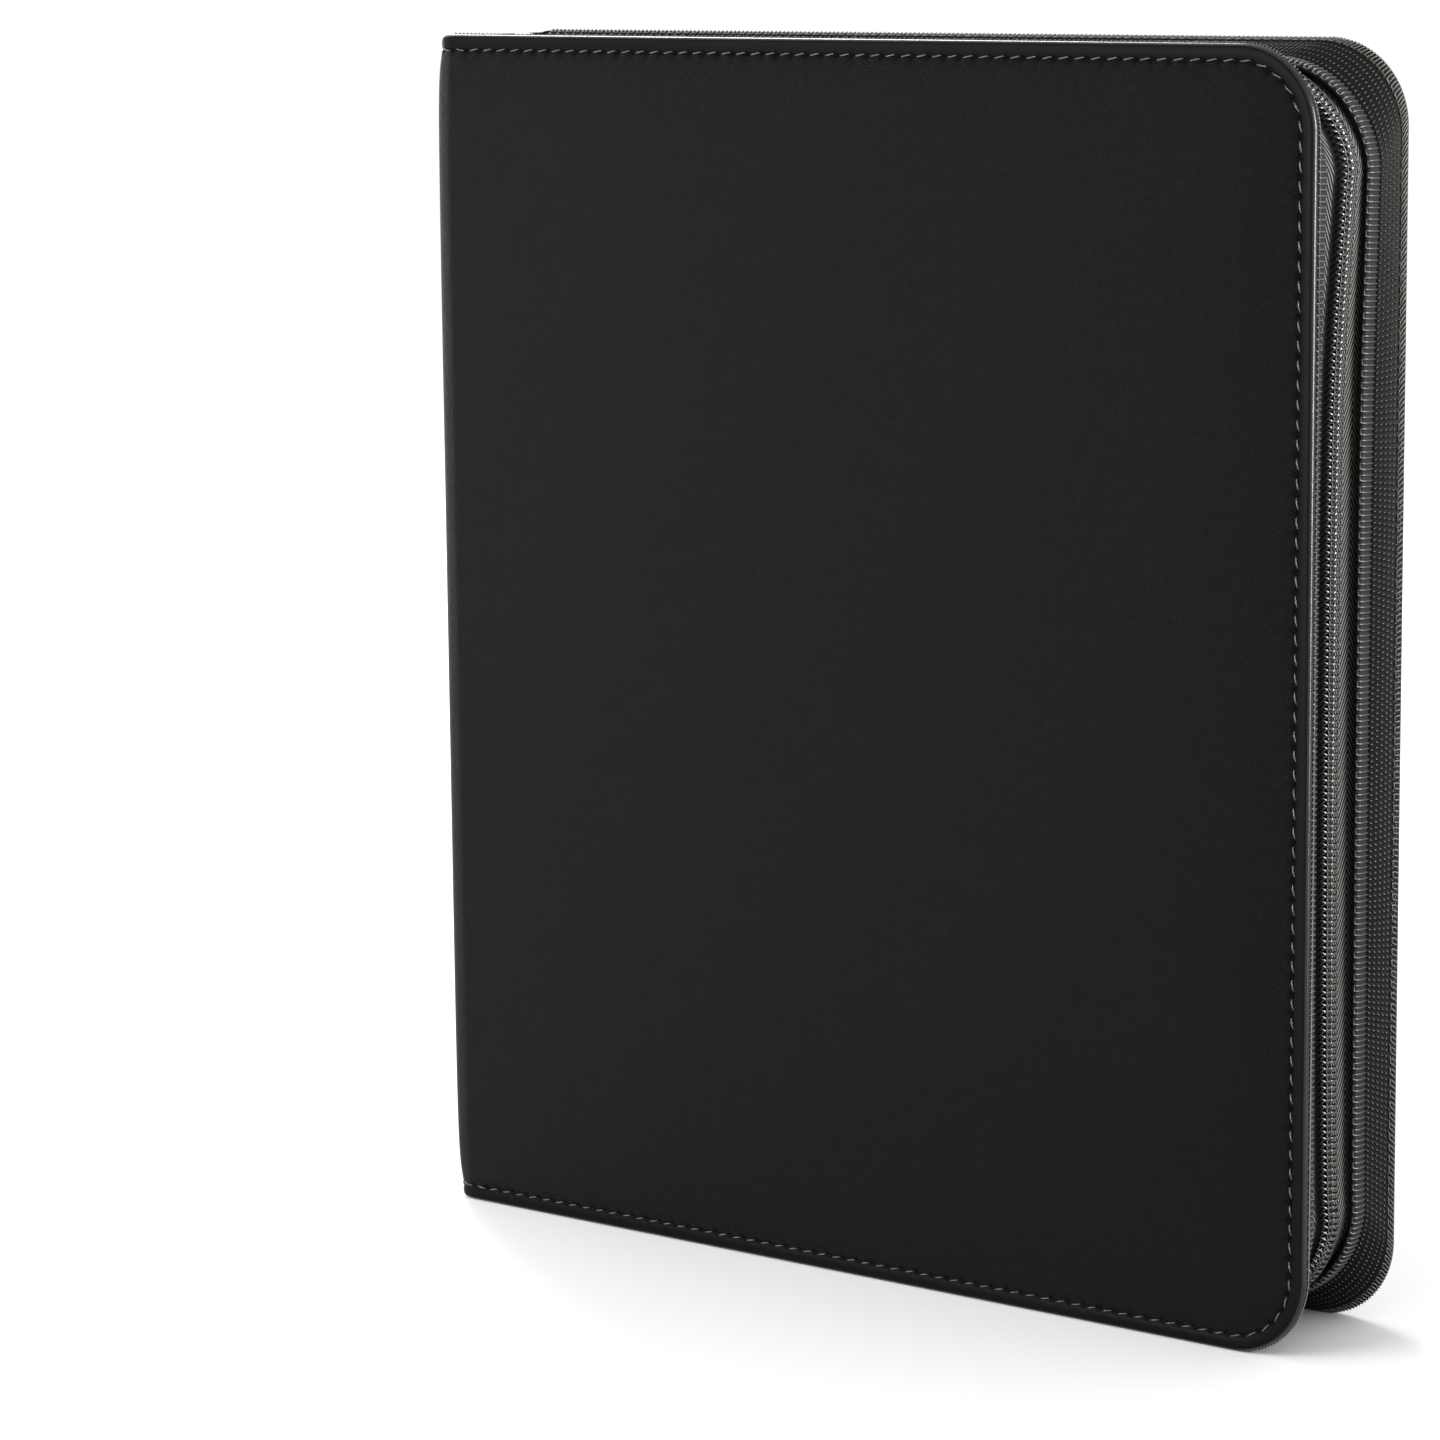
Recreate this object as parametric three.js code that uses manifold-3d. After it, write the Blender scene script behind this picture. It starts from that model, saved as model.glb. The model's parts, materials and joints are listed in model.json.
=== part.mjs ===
// A zip-around binder for trading cards, standing closed on its lower edges.
// Millimetres, +Z up. +X runs from the spine to the fore edge, and the front cover faces -Y.
// The origin is the centre of the bottom of the whole object's box.
import * as THREE from "three";
import { mergeVertices } from "three/addons/utils/BufferGeometryUtils.js";
import Module from "manifold-3d";

const wasm = await Module();
wasm.setup();

// Whole object
const HEIGHT = 320;
const WIDTH = 272;
const THICKNESS = 45;
const CORNER_RADIUS = 21;
const CORNER_STEPS = 8;
const GAP = 0.3;

const SPINE_FACE = -WIDTH / 2;
const FORE_EDGE = WIDTH / 2;
const COVER_FACE = THICKNESS / 2;

// The leather turns from the spine to each cover round an axis this far inside both outer faces.
const HINGE_RADIUS = 3;
const HINGE_X = SPINE_FACE + HINGE_RADIUS;
const HINGE_Y = COVER_FACE - HINGE_RADIUS;

// Layers of a cover and of the spine, counted inwards from the outer face
const SKIN = { from: 0, to: 1.0 };
const FOAM = { from: 1.3, to: 2.2, inset: 1.3 };
const BOARD = { from: 2.5, to: 4.2, inset: 4.6 };
const LINER = { from: 4.5, to: 4.9, inset: 5.8 };
const SKIN_WALL = 1.0;
const COVER_TURN_IN = 2.2;
const SPINE_TURN_IN = 2.6;
const COVER_LAYER_START = HINGE_X + 2.5;
const SPINE_LAYER_HALF = HINGE_Y - 2.5;

// Gusset and zip, on the three open sides. Insets are measured from the cover's outline.
const GUSSET_START = SPINE_FACE + 6;
const GUSSET_OUTER = { inset: 0.3, y: 20.1 };
const GUSSET_INNER = { inset: 4.4, y: 14.8 };
const GUSSET_THICKNESS = 1.2;
const BINDING = { near: 4.4, far: 6.6, from: 10.0, to: 14.5 };
const TAPE = { near: 7.3, far: 8.0, from: 0.2, to: 14.5 };
const COIL = { near: 4.6, far: 7.0, from: 0.15, to: 3.3, round: 0.8 };
const ZIP_CORNER_RADIUS = 31.8;
const ZIP_START = SPINE_FACE + 23;

// Fabric that joins the two tapes at each end of the zip
const ZIP_END_HALF_WIDTH = 8;
const ZIP_END_STOP = ZIP_START - 0.6;

// Slider, with a bridge on top that the pull hangs from
const SLIDER_FROM = SPINE_FACE + 6.5;
const SLIDER_LENGTH = 10;
const SLIDER_HALF_WIDTH = 4.7;
const SLIDER_PLATE = { near: 3.0, far: 4.3 };
const SLIDER_FLANGE = 1.0;
const SLIDER_FLANGE_FAR = 7.0;
const BRIDGE = { from: 1.5, to: 10, near: 0.2, thickness: 0.8, width: 1.6 };
const PULL = { length: 26, width: 8, endWidth: 7, thickness: 1.2, depth: 2.0, bar: 1.2 };
const PULL_HOLE = { length: 8, width: 5 };
const PULL_PIVOT_X = SLIDER_FROM + 7.9;

// Leaves: pocket pages sewn to a woven strip inside the spine
const LEAF_COUNT = 20;
const LEAF_PITCH = 1.72;
const LEAF_THICKNESS = 1.0;
const LEAF_WIDTH = 236;
const LEAF_HEIGHT = 290;
const LEAF_START = HINGE_X + 3.0;
const STRIP = { thickness: 0.5, halfWidth: 16.5 };

const MERGE_TOLERANCE = 1e-4;

const LOOKS = {
  leather: { color: 0x26262a, roughness: 0.55, metalness: 0 },
  foam: { color: 0x3a3a3c, roughness: 0.95, metalness: 0 },
  board: { color: 0x8c8478, roughness: 0.9, metalness: 0 },
  lining: { color: 0x232328, roughness: 0.6, metalness: 0 },
  webbing: { color: 0x18181a, roughness: 0.85, metalness: 0 },
  tape: { color: 0x1a1a1b, roughness: 0.9, metalness: 0 },
  coil: { color: 0x101011, roughness: 0.35, metalness: 0 },
  page: { color: 0x5c5c5e, roughness: 0.4, metalness: 0 },
  metal: { color: 0xc9cacc, roughness: 0.25, metalness: 1 },
};

function named(name, geometry, look) {
  const mesh = new THREE.Mesh(geometry, new THREE.MeshStandardMaterial(LOOKS[look]));
  mesh.name = name;
  return mesh;
}

// A geometry as a manifold solid, with its shared corners merged.
function solidOf(geometry) {
  const bare = geometry.clone();
  bare.deleteAttribute("normal");
  bare.deleteAttribute("uv");
  const merged = mergeVertices(bare, MERGE_TOLERANCE);
  const mesh = new wasm.Mesh({
    numProp: 3,
    vertProperties: merged.attributes.position.array,
    triVerts: new Uint32Array(merged.index.array),
  });
  return new wasm.Manifold(mesh);
}

function geometryOf(solid) {
  const mesh = solid.getMesh();
  const geometry = new THREE.BufferGeometry();
  geometry.setAttribute("position", new THREE.BufferAttribute(mesh.vertProperties, 3));
  geometry.setIndex(new THREE.BufferAttribute(mesh.triVerts, 1));
  geometry.computeVertexNormals();
  return geometry;
}

function cut(geometry, tool) {
  return geometryOf(solidOf(geometry).subtract(solidOf(tool)));
}

function join(first, second) {
  return geometryOf(solidOf(first).add(solidOf(second)));
}

// A box between two opposite corners.
function block(low, high) {
  const size = new THREE.Vector3().subVectors(high, low);
  const middle = new THREE.Vector3().addVectors(low, high).multiplyScalar(0.5);
  return new THREE.BoxGeometry(size.x, size.y, size.z).translate(middle.x, middle.y, middle.z);
}

// A cover's outline seen along Y: square at the spine, round at both fore-edge corners.
function coverOutline(inset, startX) {
  const radius = CORNER_RADIUS - inset;
  const cornerX = FORE_EDGE - CORNER_RADIUS;
  const shape = new THREE.Shape();
  shape.moveTo(startX, inset);
  shape.lineTo(cornerX, inset);
  shape.absarc(cornerX, CORNER_RADIUS, radius, -Math.PI / 2, 0, false);
  shape.absarc(cornerX, HEIGHT - CORNER_RADIUS, radius, 0, Math.PI / 2, false);
  shape.lineTo(startX, HEIGHT - inset);
  shape.closePath();
  return shape;
}

// An outline in X and Z made solid between two distances inside the back cover's outer face.
function plate(shape, from, to) {
  const settings = { depth: to - from, bevelEnabled: false, curveSegments: CORNER_STEPS / 2 };
  return new THREE.ExtrudeGeometry(shape, settings)
    .rotateX(Math.PI / 2)
    .translate(0, COVER_FACE - from, 0);
}

// Leather face with its three edges turned in round the board.
function coverSkin() {
  const start = HINGE_X + GAP;
  const face = plate(coverOutline(0, start), SKIN.from, COVER_TURN_IN);
  const hollow = plate(coverOutline(SKIN_WALL, start - 1), SKIN.to, COVER_TURN_IN + 1);
  return cut(face, hollow);
}

function coverLayer(layer) {
  return plate(coverOutline(layer.inset, COVER_LAYER_START), layer.from, layer.to);
}

// The line of a strip's edge: along the top, down the fore edge and back along the bottom.
function runLine(inset, radius, startX) {
  const cornerX = FORE_EDGE - inset - radius;
  const corners = [
    { z: HEIGHT - inset - radius, start: Math.PI / 2 },
    { z: inset + radius, start: 0 },
  ];
  const points = [new THREE.Vector2(startX, HEIGHT - inset)];
  for (const corner of corners) {
    for (let step = 0; step <= CORNER_STEPS; step += 1) {
      const angle = corner.start - (step / CORNER_STEPS) * (Math.PI / 2);
      const x = cornerX + radius * Math.cos(angle);
      points.push(new THREE.Vector2(x, corner.z + radius * Math.sin(angle)));
    }
  }
  points.push(new THREE.Vector2(startX, inset));
  return points;
}

// A closed strip round the three open sides. The section lists its corners in order.
function runStrip(section, startX) {
  const lines = section.map((corner) => runLine(corner.inset, corner.radius, startX));
  const stations = lines[0].length;
  const corners = section.length;
  const positions = [];
  const index = [];
  for (let station = 0; station < stations; station += 1) {
    for (let corner = 0; corner < corners; corner += 1) {
      const point = lines[corner][station];
      positions.push(point.x, section[corner].y, point.y);
    }
  }
  for (let station = 0; station < stations - 1; station += 1) {
    for (let corner = 0; corner < corners; corner += 1) {
      const here = station * corners + corner;
      const beside = station * corners + ((corner + 1) % corners);
      index.push(here, here + corners, beside);
      index.push(beside, here + corners, beside + corners);
    }
  }
  const last = (stations - 1) * corners;
  for (let corner = 1; corner < corners - 1; corner += 1) {
    index.push(0, corner, corner + 1);
    index.push(last, last + corner + 1, last + corner);
  }
  const geometry = new THREE.BufferGeometry();
  geometry.setAttribute("position", new THREE.Float32BufferAttribute(positions, 3));
  geometry.setIndex(index);
  geometry.computeVertexNormals();
  return geometry;
}

// Woven wall that leans in from the cover's edge to the zip.
function gusset() {
  const outerRadius = CORNER_RADIUS - GUSSET_OUTER.inset;
  const innerRadius = ZIP_CORNER_RADIUS - GUSSET_INNER.inset;
  const deepen = ({ inset, y }, radius) => [
    { inset, y, radius },
    { inset: inset + GUSSET_THICKNESS, y, radius: radius - GUSSET_THICKNESS },
  ];
  const [outerNear, outerFar] = deepen(GUSSET_OUTER, outerRadius);
  const [innerNear, innerFar] = deepen(GUSSET_INNER, innerRadius);
  return runStrip([outerNear, outerFar, innerFar, innerNear], GUSSET_START);
}

function zipCorner(inset, y) {
  return { inset, y, radius: ZIP_CORNER_RADIUS - inset };
}

// A strip with a rectangular section that follows the zip.
function zipStrip(band, startX) {
  const section = [
    zipCorner(band.near, band.to),
    zipCorner(band.far, band.to),
    zipCorner(band.far, band.from),
    zipCorner(band.near, band.from),
  ];
  return runStrip(section, startX);
}

// One side's row of nylon coil, with its outer edges rounded off.
function coil() {
  const { near, far, from, to, round } = COIL;
  const section = [
    zipCorner(near + round, to),
    zipCorner(far, to),
    zipCorner(far, from),
    zipCorner(near, from),
    zipCorner(near, to - round),
  ];
  return runStrip(section, ZIP_START);
}

// Everything that turns with one cover, built at the back. The front is the same, turned over.
function coverSide(side) {
  const group = new THREE.Group();
  group.add(
    named(`${side}_cover_leather`, coverSkin(), "leather"),
    named(`${side}_cover_foam`, coverLayer(FOAM), "foam"),
    named(`${side}_cover_board`, coverLayer(BOARD), "board"),
    named(`${side}_cover_lining`, coverLayer(LINER), "lining"),
    named(`${side}_gusset`, gusset(), "webbing"),
    named(`${side}_gusset_binding`, zipStrip(BINDING, GUSSET_START), "webbing"),
    named(`${side}_zip_tape`, zipStrip(TAPE, ZIP_START), "tape"),
    named(`${side}_zip_coil`, coil(), "coil"),
  );
  return group;
}

// A layer of the spine between two distances inside its outer face.
function spineLayer(layer, halfWidth) {
  const low = new THREE.Vector3(SPINE_FACE + layer.from, -halfWidth, layer.inset ?? 0);
  const high = new THREE.Vector3(SPINE_FACE + layer.to, halfWidth, HEIGHT - (layer.inset ?? 0));
  return block(low, high);
}

// Leather of the spine, turned in at its head and tail.
function spineSkin() {
  const halfWidth = HINGE_Y - GAP;
  const face = spineLayer({ from: SKIN.from, to: SPINE_TURN_IN }, halfWidth);
  const hollow = { from: SKIN.to, to: SPINE_TURN_IN + 1, inset: SKIN_WALL };
  return cut(face, spineLayer(hollow, halfWidth + 1));
}

// Woven strip that the leaves are sewn to, inside the spine.
function leafStrip() {
  const innerX = LEAF_START - GAP;
  const margin = (HEIGHT - LEAF_HEIGHT) / 2;
  return block(
    new THREE.Vector3(innerX - STRIP.thickness, -STRIP.halfWidth, margin),
    new THREE.Vector3(innerX, STRIP.halfWidth, HEIGHT - margin),
  );
}

function zipEnd() {
  return block(
    new THREE.Vector3(LEAF_START, -ZIP_END_HALF_WIDTH, HEIGHT - TAPE.far),
    new THREE.Vector3(ZIP_END_STOP, ZIP_END_HALF_WIDTH, HEIGHT - TAPE.near),
  );
}

function spine() {
  const group = new THREE.Group();
  const tail = named("zip_end_bottom", zipEnd(), "webbing");
  tail.rotation.x = Math.PI;
  tail.position.z = HEIGHT;
  group.add(
    named("spine_leather", spineSkin(), "leather"),
    named("spine_foam", spineLayer(FOAM, SPINE_LAYER_HALF), "foam"),
    named("spine_board", spineLayer(BOARD, SPINE_LAYER_HALF), "board"),
    named("spine_lining", spineLayer(LINER, SPINE_LAYER_HALF), "lining"),
    named("leaf_strip", leafStrip(), "webbing"),
    named("zip_end_top", zipEnd(), "webbing"),
    tail,
  );
  return group;
}

// Channel that straddles both coils, open towards the inside of the binder.
function sliderChannel() {
  const top = -SLIDER_PLATE.near;
  const under = -SLIDER_PLATE.far;
  const foot = -SLIDER_FLANGE_FAR;
  const inner = SLIDER_HALF_WIDTH - SLIDER_FLANGE;
  const shape = new THREE.Shape();
  shape.moveTo(-SLIDER_HALF_WIDTH, foot);
  shape.lineTo(-inner, foot);
  shape.lineTo(-inner, under);
  shape.lineTo(inner, under);
  shape.lineTo(inner, foot);
  shape.lineTo(SLIDER_HALF_WIDTH, foot);
  shape.lineTo(SLIDER_HALF_WIDTH, top);
  shape.lineTo(-SLIDER_HALF_WIDTH, top);
  shape.closePath();
  return new THREE.ExtrudeGeometry(shape, { depth: SLIDER_LENGTH, bevelEnabled: false })
    .rotateX(Math.PI / 2)
    .rotateZ(Math.PI / 2);
}

// Arch on the slider's plate, seen along Y.
function sliderBridge() {
  const { from, to, near, thickness, width } = BRIDGE;
  const foot = -(SLIDER_PLATE.near + 0.5);
  const shape = new THREE.Shape();
  shape.moveTo(from, foot);
  shape.lineTo(from + thickness, foot);
  shape.lineTo(from + thickness, -(near + thickness));
  shape.lineTo(to - thickness, -(near + thickness));
  shape.lineTo(to - thickness, foot);
  shape.lineTo(to, foot);
  shape.lineTo(to, -near);
  shape.lineTo(from, -near);
  shape.closePath();
  return new THREE.ExtrudeGeometry(shape, { depth: width, bevelEnabled: false })
    .rotateX(Math.PI / 2)
    .translate(0, width / 2, 0);
}

function slider() {
  const body = named("zip_slider", join(sliderChannel(), sliderBridge()), "metal");
  body.position.set(SLIDER_FROM, 0, HEIGHT);
  return body;
}

// Flat pull with a square eye. Its cross bar turns under the slider's bridge.
function pull() {
  const heel = -PULL.bar / 2;
  const tip = heel + PULL.length;
  const shape = new THREE.Shape();
  shape.moveTo(heel, -PULL.width / 2);
  shape.lineTo(tip - PULL.endWidth / 2, -PULL.endWidth / 2);
  shape.absarc(tip - PULL.endWidth / 2, 0, PULL.endWidth / 2, -Math.PI / 2, Math.PI / 2, false);
  shape.lineTo(heel, PULL.width / 2);
  shape.closePath();
  const eye = new THREE.Path();
  eye.moveTo(PULL.bar / 2, -PULL_HOLE.width / 2);
  eye.lineTo(PULL.bar / 2, PULL_HOLE.width / 2);
  eye.lineTo(PULL.bar / 2 + PULL_HOLE.length, PULL_HOLE.width / 2);
  eye.lineTo(PULL.bar / 2 + PULL_HOLE.length, -PULL_HOLE.width / 2);
  eye.closePath();
  shape.holes.push(eye);
  const settings = { depth: PULL.thickness, bevelEnabled: false, curveSegments: CORNER_STEPS };
  const geometry = new THREE.ExtrudeGeometry(shape, settings).translate(0, 0, -PULL.thickness / 2);
  const mesh = named("zip_pull", geometry, "metal");
  mesh.position.set(PULL_PIVOT_X, 0, HEIGHT - PULL.depth);
  return mesh;
}

// One pocket page, from the front cover backwards.
function leaf(number) {
  const y = (number - (LEAF_COUNT + 1) / 2) * LEAF_PITCH;
  const margin = (HEIGHT - LEAF_HEIGHT) / 2;
  const geometry = block(
    new THREE.Vector3(LEAF_START, y - LEAF_THICKNESS / 2, margin),
    new THREE.Vector3(LEAF_START + LEAF_WIDTH, y + LEAF_THICKNESS / 2, HEIGHT - margin),
  );
  return named(`leaf_${String(number).padStart(2, "0")}`, geometry, "page");
}

function binder() {
  const group = new THREE.Group();
  const front = coverSide("front");
  front.rotation.x = Math.PI;
  front.position.z = HEIGHT;
  group.add(coverSide("back"), front, spine(), slider(), pull());
  for (let number = 1; number <= LEAF_COUNT; number += 1) {
    group.add(leaf(number));
  }
  return group;
}

export default binder();
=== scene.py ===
"""A zip-around trading card binder in black PU leather, standing closed on a pale floor."""
import json
import math
import bmesh
import bpy
import numpy as np
from mathutils import Matrix, Vector


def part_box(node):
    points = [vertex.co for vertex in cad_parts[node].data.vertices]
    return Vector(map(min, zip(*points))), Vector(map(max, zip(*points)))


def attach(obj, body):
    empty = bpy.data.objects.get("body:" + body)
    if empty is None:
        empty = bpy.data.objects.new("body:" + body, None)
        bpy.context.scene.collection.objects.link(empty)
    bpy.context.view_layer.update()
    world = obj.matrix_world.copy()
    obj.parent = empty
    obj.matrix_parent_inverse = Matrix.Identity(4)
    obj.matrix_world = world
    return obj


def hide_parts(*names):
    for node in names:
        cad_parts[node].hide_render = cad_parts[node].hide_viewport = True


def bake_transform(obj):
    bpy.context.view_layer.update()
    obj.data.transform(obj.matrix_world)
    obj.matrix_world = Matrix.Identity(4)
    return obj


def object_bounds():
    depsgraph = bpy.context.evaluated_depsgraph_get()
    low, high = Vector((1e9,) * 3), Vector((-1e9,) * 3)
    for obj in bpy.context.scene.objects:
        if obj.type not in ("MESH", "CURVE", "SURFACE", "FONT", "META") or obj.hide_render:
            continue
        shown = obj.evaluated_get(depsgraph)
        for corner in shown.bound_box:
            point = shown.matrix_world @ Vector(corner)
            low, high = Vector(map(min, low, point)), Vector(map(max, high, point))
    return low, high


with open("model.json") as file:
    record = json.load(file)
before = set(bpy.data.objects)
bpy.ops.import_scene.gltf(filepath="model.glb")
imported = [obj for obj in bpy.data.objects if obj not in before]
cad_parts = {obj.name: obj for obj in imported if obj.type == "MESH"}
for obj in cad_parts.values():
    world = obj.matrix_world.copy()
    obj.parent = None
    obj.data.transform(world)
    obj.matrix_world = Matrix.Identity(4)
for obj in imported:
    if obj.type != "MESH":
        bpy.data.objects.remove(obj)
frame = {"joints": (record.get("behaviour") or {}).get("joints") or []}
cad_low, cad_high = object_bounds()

MM = 0.001

# The closed binder's box, from the CAD: spine face, fore edge, back cover's face and height
SPINE_X, FORE_X = cad_low.x, cad_high.x
FACE_Y = cad_high.y
HEIGHT = cad_high.z

joints = {joint["name"]: joint for joint in frame["joints"]}
HINGE_X, HINGE_Y = joints["spine_hinge"]["pos_m"][:2]
HINGE_RADIUS = FACE_Y - HINGE_Y

# Outlines: the cover's corner radius, and the larger radius that the zip's run is concentric with
COVER_CORNER = 21 * MM
ZIP_CORNER = 31.8 * MM

# The leather bends between spine and cover within this distance of its rounded edge.
BEND_REACH = 8 * MM
COVER_START = HINGE_X + BEND_REACH

# The side of the middle plane that each cover is on
SIGNS = {"back": 1, "front": -1}

STITCH_INSET = 4.05 * MM
STITCH_PITCH = 4.7 * MM
COIL_PITCH = 1.6 * MM
WHIP_PITCH = 1.41 * MM
WHIP_THREAD = 0.27 * MM
EDGE_PITCH = 1.3 * MM
EDGE_THREAD = 0.22 * MM


# ---------------------------------------------------------------- meshes

def add_mesh(name, points, faces, materials, uv=None, slots=None):
    """A new object from points in metres. uv is one pair for each point, slots a material for each face."""
    mesh = bpy.data.meshes.new(name)
    mesh.from_pydata(np.asarray(points, float).tolist(), [], [tuple(int(i) for i in f) for f in faces])
    if uv is not None:
        layer = mesh.uv_layers.new(name="run")
        corners = np.empty(len(mesh.loops), np.int32)
        mesh.loops.foreach_get("vertex_index", corners)
        layer.data.foreach_set("uv", np.asarray(uv, np.float32)[corners].ravel())
    for material in materials if isinstance(materials, (list, tuple)) else [materials]:
        mesh.materials.append(material)
    if slots is not None:
        mesh.polygons.foreach_set("material_index", np.asarray(slots, np.int32))
    work = bmesh.new()
    work.from_mesh(mesh)
    bmesh.ops.recalc_face_normals(work, faces=work.faces)
    work.to_mesh(mesh)
    work.free()
    mesh.polygons.foreach_set("use_smooth", [True] * len(mesh.polygons))
    piece = bpy.data.objects.new(name, mesh)
    bpy.context.scene.collection.objects.link(piece)
    return piece


def grid_faces(rows, columns, closed=False):
    """Quads of a grid whose points are listed row by row. closed joins each row's last point to its first."""
    last = columns if closed else columns - 1
    row, column = np.meshgrid(np.arange(rows - 1), np.arange(last), indexing="ij")
    here = row * columns + column
    beside = row * columns + (column + 1) % columns
    return np.stack([here, beside, beside + columns, here + columns], axis=-1).reshape(-1, 4)


def capped_faces(rows, columns):
    """The faces of a closed sweep, with its two ends filled."""
    first = tuple(range(columns))
    end = tuple((rows - 1) * columns + i for i in reversed(range(columns)))
    return [tuple(f) for f in grid_faces(rows, columns, closed=True)] + [first, end]


def panel_faces(rows, columns):
    """The faces of an open strip whose last column is the edge of a flat middle, which one face fills."""
    middle = tuple(row * columns + columns - 1 for row in range(rows))
    return [tuple(f) for f in grid_faces(rows, columns)] + [middle]


def on_side(points, side):
    """Points built at the back cover, turned over to the front cover where side is "front"."""
    points = np.array(points, float)
    if side == "front":
        points[:, 1] *= -1
        points[:, 2] = HEIGHT - points[:, 2]
    return points


def add_sweep(name, grid, material, side="back", uv=None):
    """A closed sweep from a grid of points: a row for each station, a column for each place round it."""
    points = on_side(grid.reshape(-1, 3), side)
    return add_mesh(name, points, capped_faces(*grid.shape[:2]), material, uv=uv)


def add_tube(name, line, outward, radius, material, side="back", sides=5):
    """A round thread along a line, with one cross-section for each point."""
    along = np.gradient(line, axis=0)
    along /= np.linalg.norm(along, axis=1)[:, None] + 1e-12
    up = outward - along * np.sum(outward * along, axis=1)[:, None]
    up /= np.linalg.norm(up, axis=1)[:, None] + 1e-12
    other = np.cross(along, up)
    around = 2 * math.pi * np.arange(sides) / sides
    ring = np.cos(around)[None, :, None] * up[:, None, :] + np.sin(around)[None, :, None] * other[:, None, :]
    return add_sweep(name, line[:, None, :] + radius * ring, material, side)


def slab(middle, half):
    """A thin closed sheet from a grid of middle points and half its thickness: two faces and a rim."""
    middle = np.asarray(middle, float)
    normal = np.cross(np.gradient(middle, axis=0), np.gradient(middle, axis=1))
    normal /= np.linalg.norm(normal, axis=2)[..., None]
    rows, columns = middle.shape[:2]
    out = normal * np.broadcast_to(half, (rows, columns))[..., None]
    points = np.concatenate([(middle + out).reshape(-1, 3), (middle - out).reshape(-1, 3)])
    count = rows * columns
    face = grid_faces(rows, columns)
    index = np.arange(count).reshape(rows, columns)
    rim = np.concatenate([index[0, :-1], index[:-1, -1], index[-1, :0:-1], index[:0:-1, 0]])
    after = np.roll(rim, -1)
    walls = np.stack([after, rim, rim + count, after + count], axis=-1)
    return points, np.concatenate([face, face[:, ::-1] + count, walls])


# ---------------------------------------------------------------- the run round the three open sides

def run_at(t, inset, base, start_x):
    """Places on the line at an inset: t 0 to 1 is the top, 1 to 2 a corner, 2 to 3 the fore edge, 3 to 4 a
    corner, 4 to 5 the bottom. Returns x, z and the inward direction, in the shape of t and inset."""
    t, inset, base = np.broadcast_arrays(np.asarray(t, float), inset, base)
    radius = base - inset
    corner_x = FORE_X - inset - radius
    leg = np.clip(np.floor(t).astype(int), 0, 4)
    part = t - leg
    along = start_x + (corner_x - start_x) * part
    back = corner_x + (start_x - corner_x) * part
    angle = np.where(leg == 1, math.pi / 2 * (1 - part), -math.pi / 2 * part)
    centre_z = np.where(leg == 1, HEIGHT - base, base)
    down = HEIGHT - base + (2 * base - HEIGHT) * part
    turning = (leg == 1) | (leg == 3)
    x = np.choose(leg, [along, corner_x + radius * np.cos(angle), FORE_X - inset,
                        corner_x + radius * np.cos(angle), back])
    z = np.choose(leg, [HEIGHT - inset, centre_z + radius * np.sin(angle), down,
                        centre_z + radius * np.sin(angle), inset])
    inward_x = np.where(turning, -np.cos(angle), np.where(leg == 2, -1.0, 0.0))
    inward_z = np.where(turning, -np.sin(angle), np.choose(leg, [-1.0, 0.0, 0.0, 0.0, 1.0]))
    return x, z, inward_x, inward_z


def run_length(inset, base, start_x):
    """(t, the distance along the line at each t) for a line at an inset."""
    t = np.linspace(0, 5, 4001)
    x, z, _, _ = run_at(t, inset, base, start_x)
    step = np.hypot(np.diff(x), np.diff(z))
    return t, np.concatenate([[0], np.cumsum(step)])


def spaced(step, inset, base, start_x, offset=0.0):
    """t values a step apart along the line at an inset."""
    t, distance = run_length(inset, base, start_x)
    return np.interp(np.arange(offset, distance[-1], step), distance, t)


def mixed_stations(straight_step, corner_steps):
    """t values with even steps on the straights and finer ones round the corners."""
    straight = [np.linspace(leg, leg + 1, max(2, int(length / straight_step)), endpoint=False)
                for leg, length in ((0, FORE_X - SPINE_X), (2, HEIGHT), (4, FORE_X - SPINE_X))]
    corner = [np.linspace(leg, leg + 1, corner_steps, endpoint=False) for leg in (1, 3)]
    return np.concatenate([straight[0], corner[0], straight[1], corner[1], straight[2], [5.0]])


def run_line(t, inset, y, base, start_x):
    """The points of a line beside the run, and the inward direction at each."""
    x, z, inward_x, inward_z = run_at(t, inset, base, start_x)
    line = np.stack([x, np.broadcast_to(y, x.shape), z], axis=-1)
    return line, np.stack([inward_x, np.zeros_like(x), inward_z], axis=-1)


def sweep(t, inset, y, base, start_x):
    """Points of a strip: one row for each t, one column for each place on its section."""
    return run_line(np.asarray(t)[:, None], inset, y, base, start_x)[0]


def run_uv(t, across, inset, base, start_x):
    """Metres along the run and across the section, for weaves."""
    table_t, distance = run_length(inset, base, start_x)
    along = np.interp(t, table_t, distance)
    u, v = np.meshgrid(along, across, indexing="ij")
    return np.stack([u, v], axis=-1).reshape(-1, 2)


def section_lengths(inset, y):
    """The distance along a section from its first place."""
    return np.concatenate([[0], np.cumsum(np.hypot(np.diff(inset), np.diff(y)))])


# ---------------------------------------------------------------- materials

def new_material(name):
    material = bpy.data.materials.new(name)
    material.use_nodes = True
    tree = material.node_tree
    return material, tree, tree.nodes["Principled BSDF"]


def node(tree, kind, inputs=None, **settings):
    """A node with its settings, and its inputs set to values or linked from sockets."""
    made = tree.nodes.new(kind)
    for key, value in settings.items():
        setattr(made, key, value)
    for key, value in (inputs or {}).items():
        if isinstance(value, bpy.types.NodeSocket):
            tree.links.new(value, made.inputs[key])
        else:
            made.inputs[key].default_value = value
    return made


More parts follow.
